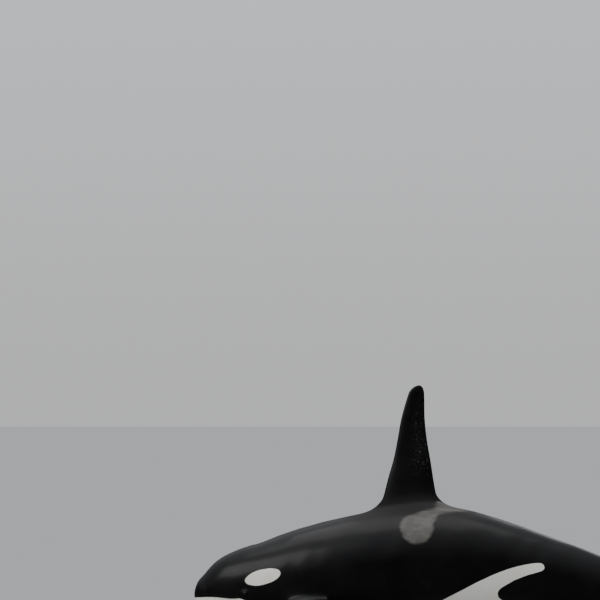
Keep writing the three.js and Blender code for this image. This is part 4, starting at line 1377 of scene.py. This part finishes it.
class ORCA_OT_eyes(bpy.types.Operator):
    """Build the eyes and their lids"""

    bl_idname = "orca.eyes"
    bl_label = "Eyes and lids"

    def execute(self, context):
        material = eye_material(context.scene.orca_colours)
        for name, side in SIDES.items():
            rings, tilt = eye_surface(side)
            points, faces = closed_rings(rings)
            ring = {"ring": np.concatenate([tilt, [0, np.pi]])}
            piece = put_mesh(f"orca_eye_{name}", points, faces, material, ring)
            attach(piece, "root")
            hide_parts(f"eye_{name}")

            put_patch(f"orca_lid_{name}", *lid_surface(side))
        return {"FINISHED"}


class ORCA_OT_blowhole(bpy.types.Operator):
    """Build the blowhole"""

    bl_idname = "orca.blowhole"
    bl_label = "Blowhole"

    def execute(self, context):
        patch = put_patch("orca_blowhole", *blowhole_surface(), filled=True)
        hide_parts("blowhole")
        return {"FINISHED"}


def put_rings(name, rings, material, node):
    """A closed piece from rings, fanned to their middles at both ends, that replaces a node."""
    points, faces = closed_rings(rings)
    piece = put_mesh(name, points, faces, material)
    piece.data.set_sharp_from_angle(angle=math.radians(SHARP_FOLD))
    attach(piece, "root")
    if node:
        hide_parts(node)
    return piece


def rounded(corners, radius, steps=5):
    """A profile whose inner corners are curves: the quadratic from one side to the other."""
    points = np.array(corners, float)
    t = np.linspace(0, 1, steps + 1)[:, None]
    line = [points[:1]]
    for before, corner, after in zip(points, points[1:], points[2:]):
        sides = [before - corner, after - corner]
        lengths = [np.linalg.norm(side) for side in sides]
        cut = min(radius, *(0.45 * length for length in lengths))
        a, b = (corner + side / length * cut for side, length in zip(sides, lengths))
        line.append((1 - t) ** 2 * a + 2 * t * (1 - t) * corner + t * t * b)
    return np.concatenate([*line, points[-1:]])


def turned(profile, x, count=96):
    """Rings of a profile of (radius, height) turned about the plumb line at x."""
    turn = full_turn(count)
    r, z = profile[:, :1], profile[:, 1:]
    return np.stack([x + r * np.cos(turn), r * np.sin(turn), z + 0 * turn], -1)


def slab_rings(groove):
    """The base: a rounded rectangle at each inset and height of a profile that rounds both edges
    and cuts a shallow groove round the top."""
    thick, wide, soft = STAND["thick"], STAND["groove_wide"], 0.0012
    low, eased = thick - STAND["groove_deep"], thick - soft / 3
    edge = rounded([(0.01, 0), (0, 0), (0, thick), (0.014, thick)], 0.008, 6)
    cut = [
        (groove, thick), (groove + soft, eased), (groove + soft, low), (groove + wide, low),
        (groove + wide, eased), (groove + wide + soft, thick), (groove + 0.04, thick), (0.5, thick),
    ]
    inset, z = np.concatenate([edge, cut]).T[..., None]
    count = 13
    quarter = np.linspace(0, np.pi / 2, count)
    turn = np.concatenate([quarter + k * np.pi / 2 for k in range(4)])
    least = 0.004
    corner = np.maximum(STAND["corner"] - inset, least)
    right, back = np.repeat([1, -1, -1, 1], count), np.repeat([1, 1, -1, -1], count)
    x = right * (STAND["length"] / 2 - inset - corner) + corner * np.cos(turn)
    y = back * (STAND["width"] / 2 - inset - corner) + corner * np.sin(turn)
    return np.stack([x, y, z + 0 * turn], -1)


def bolt_rings(x, y, base, radius):
    """A washer and a six-sided head: each row is a radius, a height and how six-sided it is."""
    turn = full_turn(48)
    hexagon = math.cos(math.pi / 6) / np.cos(turn % (math.pi / 3) - math.pi / 6)
    rows = np.array([
        [1.55, 0.0002, 0], [1.55, 0.0022, 0], [1.5, 0.0027, 0], [1.16, 0.0027, 0], [1.14, 0.003, 1],
        [1.14, 0.0105, 1], [1.12, 0.0112, 0.9], [1.0, 0.0122, 0], [0.2, 0.0124, 0],
    ])[..., None]
    r = radius * rows[:, 0] * (1 + (hexagon - 1) * rows[:, 2])
    return np.stack([x + r * np.cos(turn), y + r * np.sin(turn), base + rows[:, 1] + 0 * turn], -1)


def keel_under(x):
    """Height of the keel at a place, from the spine downwards."""
    place = float(np.interp(x, SPINE[:, 0] - BALANCE_X, np.arange(len(SPINE)) * SPINE_STEP))
    start = pose(np.array(place), 0, 0) * [0, 1, 1] + [x, 0, 0]
    return start[2] - float(skin_along(start, DOWN, 0, 1.5))


def keel_height(x, y):
    """Height of the body's underside over a point of the floor, by halving along a plumb line."""
    inside = keel_under(float(x.mean())) + 0.25
    start = np.stack([x, y, np.full(x.shape, inside)], -1)
    return inside - skin_along(start, DOWN, 0, 0.6)


def cup_rings(x, low, rim, pad):
    """The cradle: a flared cup whose top follows the body, a pad's thickness below it."""
    r, rod = STAND["cradle"], STAND["rod"]
    foot = rod + STAND["foot"]
    side = rounded([(NEAR_AXIS, low), (foot, low), (foot + 0.006, low + 0.008), (r, rim)], 0.006)
    wall = turned(side, x)
    turn = full_turn(96)
    radii = np.array([r, r, r - 0.001, r - 0.004, r - 0.02, 0.09, 0.045, 0.002])[:, None]
    drop = np.array([0.014, 0.004, 0.001, 0, 0, 0, 0, 0])[:, None]
    px, py = x + radii * np.cos(turn), radii * np.sin(turn)
    top = np.stack([px, py, keel_height(px, py) - pad - drop], -1)
    return np.concatenate([wall, top])


def pad_rings(x, pad):
    """The rubber pad between cradle and body: a disc that follows the body, its rim rounded."""
    r = STAND["cradle"] + STAND["pad_past"]
    turn = full_turn(96)
    rows = np.array([
        [0.002, 1], [0.07, 1], [r - 0.004, 1], [r - 0.001, 0.85], [r, 0.6], [r, 0.4],
        [r - 0.001, 0.15], [r - 0.004, 0], [0.07, 0], [0.002, 0],
    ])[..., None]
    px, py = x + rows[:, 0] * np.cos(turn), rows[:, 0] * np.sin(turn)
    top = keel_height(px, py) - STAND["pad_under"]
    return np.stack([px, py, top - rows[:, 1] * (pad - STAND["pad_thinner"])], -1)


def rod_rings(x, low, high):
    """A rod with a rippled weld bead at each end."""
    rod, bead = STAND["rod"], STAND["bead"]
    around, ripples = 144, 36
    arc = np.linspace(0, np.pi / 2, 6)
    flare = bead * (1 - np.sin(arc))
    lift = bead * (1 - np.cos(arc))
    profile = np.concatenate([
        [[NEAR_AXIS, low]], np.stack([rod + flare, low + lift], 1),
        np.stack([rod + flare, high - lift], 1)[::-1], [[NEAR_AXIS, high]],
    ])
    rings = turned(profile, x, around)
    turn = full_turn(around)
    swell = np.concatenate([[0], flare, flare[::-1], [0]])[:, None] * 0.16
    ripple = swell * np.sin(ripples * turn)
    rings[..., 0] += ripple * np.cos(turn)
    rings[..., 1] += ripple * np.sin(turn)
    return rings


def bolt_circle(x, base, radius):
    """Points and faces of six bolts with washers, at even turns round the flange at x."""
    out = STAND["flange"] - STAND["bolt_inset"]
    points, faces = [], []
    for turn in np.radians(np.arange(6) * 60 + 30):
        rings = bolt_rings(x + out * math.cos(turn), out * math.sin(turn), base, radius)
        head, head_faces = closed_rings(rings, sum(map(len, points)))
        points.append(head)
        faces += head_faces
    return np.concatenate(points), faces


class ORCA_OT_stand(bpy.types.Operator):
    """Build the display stand: its base, flanges, bolts, rods, cradles and pads"""

    bl_idname = "orca.stand"
    bl_label = "Display stand"

    def execute(self, context):
        sizes = context.scene.orca_stand
        finishes = {name: coat_material(name, *values) for name, values in FINISHES.items()}
        metal = finishes["Powder coat"]
        slab = slab_rings(sizes.groove)
        put_rings("base_slab", slab, finishes["Textured coat"], "stand_base")

        flange_low = STAND["thick"] + GAP
        flange_top = flange_low + STAND["flange_height"]
        r, chamfer = STAND["flange"], STAND["chamfer"]
        plate = rounded([
            (NEAR_AXIS, flange_low), (r, flange_low), (r, flange_top - chamfer),
            (r - chamfer, flange_top), (NEAR_AXIS, flange_top),
        ], 0.002)
        for name, place in STAND["rods_at"].items():
            x = float(pose(np.array(place * PERCENT), 0, 0)[0])
            keel = keel_under(x)
            cup = keel - STAND["cradle_height"]
            for piece, rings in (
                ("flange", turned(plate, x)),
                ("rod", rod_rings(x, flange_top + GAP, cup - GAP)),
                ("cradle", cup_rings(x, cup, keel - STAND["rim_under"], sizes.pad)),
            ):
                put_rings(f"{piece}_{name}", rings, metal, f"stand_{piece}_{name}")
            pad = pad_rings(x, sizes.pad)
            put_rings(f"pad_{name}", pad, finishes["Rubber"], None)

            points, faces = bolt_circle(x, flange_top, sizes.bolt)
            bolts = put_mesh(f"bolts_{name}", points, faces, finishes["Zinc plate"])
            bolts.data.set_sharp_from_angle(angle=math.radians(BOLT_FOLD))
            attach(bolts, "root")
        return {"FINISHED"}


class ORCA_OT_stage(bpy.types.Operator):
    """Set the floor, the sky, the lamps and the camera"""

    bl_idname = "orca.stage"
    bl_label = "Stage"

    def execute(self, context):
        self.floor()
        self.sky()
        self.lamps()
        self.camera()
        return {"FINISHED"}

    def floor(self):
        """A square of four quads round the origin, too wide to show its end, just under the base."""
        reach_out, under = 20000.0, 0.0005
        line = np.array([-reach_out, 0, reach_out])
        x, y = np.meshgrid(line, line, indexing="ij")
        points = np.stack([x, y, 0 * x - under], -1).reshape(-1, 3)
        quads = quads_between(np.arange(9).reshape(3, 3), closed=False)
        material, nodes, shader, here = new_material("Pale floor", Roughness=0.75)
        tone = nodes.noise(here, 0.35, 3.0)
        pale = nodes.mix(tone, (0.70, 0.70, 0.70, 1), (0.76, 0.76, 0.755, 1))
        # The floor is painted dark for glossy rays only: a painted reflection, so the skin mirrors a
        # dark ground like dark water
        glossy_ray = nodes.add("ShaderNodeLightPath").outputs["Is Glossy Ray"]
        nodes.join(nodes.mix(glossy_ray, pale, (0.07, 0.075, 0.08, 1)), shader.inputs["Base Color"])
        floor = put_mesh("floor", points, quads.reshape(-1, 4).tolist(), material)

    def sky(self):
        """Pale to the eye; bright overhead and dim at the horizon for what the skin reflects."""
        world = bpy.data.worlds.new("Studio")
        bpy.context.scene.world = world
        world.use_nodes = True
        world.node_tree.nodes.clear()
        nodes = Nodes(world.node_tree)
        direction = nodes.add("ShaderNodeTexCoord").outputs["Generated"]
        height = nodes.add("ShaderNodeSeparateXYZ", {"Vector": direction}).outputs["Z"]
        low, high = (0.56, 0.565, 0.575, 1), (0.70, 0.71, 0.735, 1)
        seen = nodes.mix(nodes.ramp(height, 0.0, 0.06), low, high)
        dim, bright = (0.022, 0.024, 0.028, 1), (0.80, 0.82, 0.85, 1)
        shed = nodes.mix(nodes.ramp(height, 0.02, 0.85), dim, bright)
        camera_ray = nodes.add("ShaderNodeLightPath").outputs["Is Camera Ray"]
        colour = nodes.mix(camera_ray, shed, seen)
        background = nodes.add("ShaderNodeBackground", {"Color": colour, "Strength": 1.0})
        nodes.add("ShaderNodeOutputWorld", {"Surface": background.outputs[0]})

    def lamps(self):
        """Soft lamps: one overhead, one from the front left and a rim from behind."""
        for name, place, aim, size, power in (
            ("Overhead", (-0.5, -1.0, 11.0), (0, 0, 1.8), (12, 7), 500),
            ("Key", (-9.0, -9.0, 9.5), (-1, 0, 1.8), (9, 7), 760),
            ("Rim", (7.0, 9.0, 8.0), (0.5, 0, 2.0), (8, 3), 170),
        ):
            data = bpy.data.lights.new(name, "AREA")
            data.shape = "RECTANGLE"
            data.size, data.size_y = size
            data.energy = power
            lamp = bpy.data.objects.new(name, data)
            lamp.location = place
            lamp.rotation_euler = (Vector(aim) - Vector(place)).to_track_quat("-Z", "Y").to_euler()
            lamp.visible_camera = False
            bpy.context.scene.collection.objects.link(lamp)

    def camera(self):
        """A long lens far off to the left, level enough that the floor ends at the horizon row."""
        away = 120.0
        span = PICTURE / PIXELS_PER_METRE
        fin_x, _, ridge = (float(value) for value in dorsal_placing()["origin"])
        centre_x = fin_x + (PICTURE / 2 - FIN_PIXEL[0]) / PIXELS_PER_METRE
        centre_z = ridge + (FIN_PIXEL[1] - PICTURE / 2) / PIXELS_PER_METRE
        eye_z = ridge + (FIN_PIXEL[1] - HORIZON_ROW) / PIXELS_PER_METRE
        data = bpy.data.cameras.new("Camera")
        data.sensor_width = 36.0
        data.lens = data.sensor_width * away / span
        data.clip_start, data.clip_end = 1.0, 40000.0
        camera = bpy.data.objects.new("Camera", data)
        place, aim = Vector((centre_x, -away, eye_z)), Vector((centre_x, 0, centre_z))
        camera.location = place
        camera.rotation_euler = (aim - place).to_track_quat("-Z", "Y").to_euler()
        bpy.context.scene.collection.objects.link(camera)
        bpy.context.scene.camera = camera


STEPS = (ORCA_OT_stage, ORCA_OT_skin, ORCA_OT_eyes, ORCA_OT_blowhole, ORCA_OT_stand)


class ORCA_PT_panel(bpy.types.Panel):
    """The orca's pieces, colours and sizes"""

    bl_label = "Orca"
    bl_idname = "ORCA_PT_panel"
    bl_space_type = "VIEW_3D"
    bl_region_type = "UI"
    bl_category = "Orca"

    def draw(self, context):
        for step in STEPS:
            self.layout.operator(step.bl_idname)
        for group in (context.scene.orca_colours, context.scene.orca_stand):
            box = self.layout.box()
            for key in type(group).__annotations__:
                box.prop(group, key)


CLASSES = (OrcaColours, OrcaStand, *STEPS, ORCA_PT_panel)


def register():
    for cls in CLASSES:
        bpy.utils.register_class(cls)
    bpy.types.Scene.orca_colours = PointerProperty(type=OrcaColours)
    bpy.types.Scene.orca_stand = PointerProperty(type=OrcaStand)


def unregister():
    del bpy.types.Scene.orca_stand
    del bpy.types.Scene.orca_colours
    for cls in reversed(CLASSES):
        bpy.utils.unregister_class(cls)


def main():
    register()
    bpy.ops.orca.stage()
    bpy.ops.orca.skin()
    bpy.ops.orca.eyes()
    bpy.ops.orca.blowhole()
    bpy.ops.orca.stand()


if __name__ == "__main__":
    main()
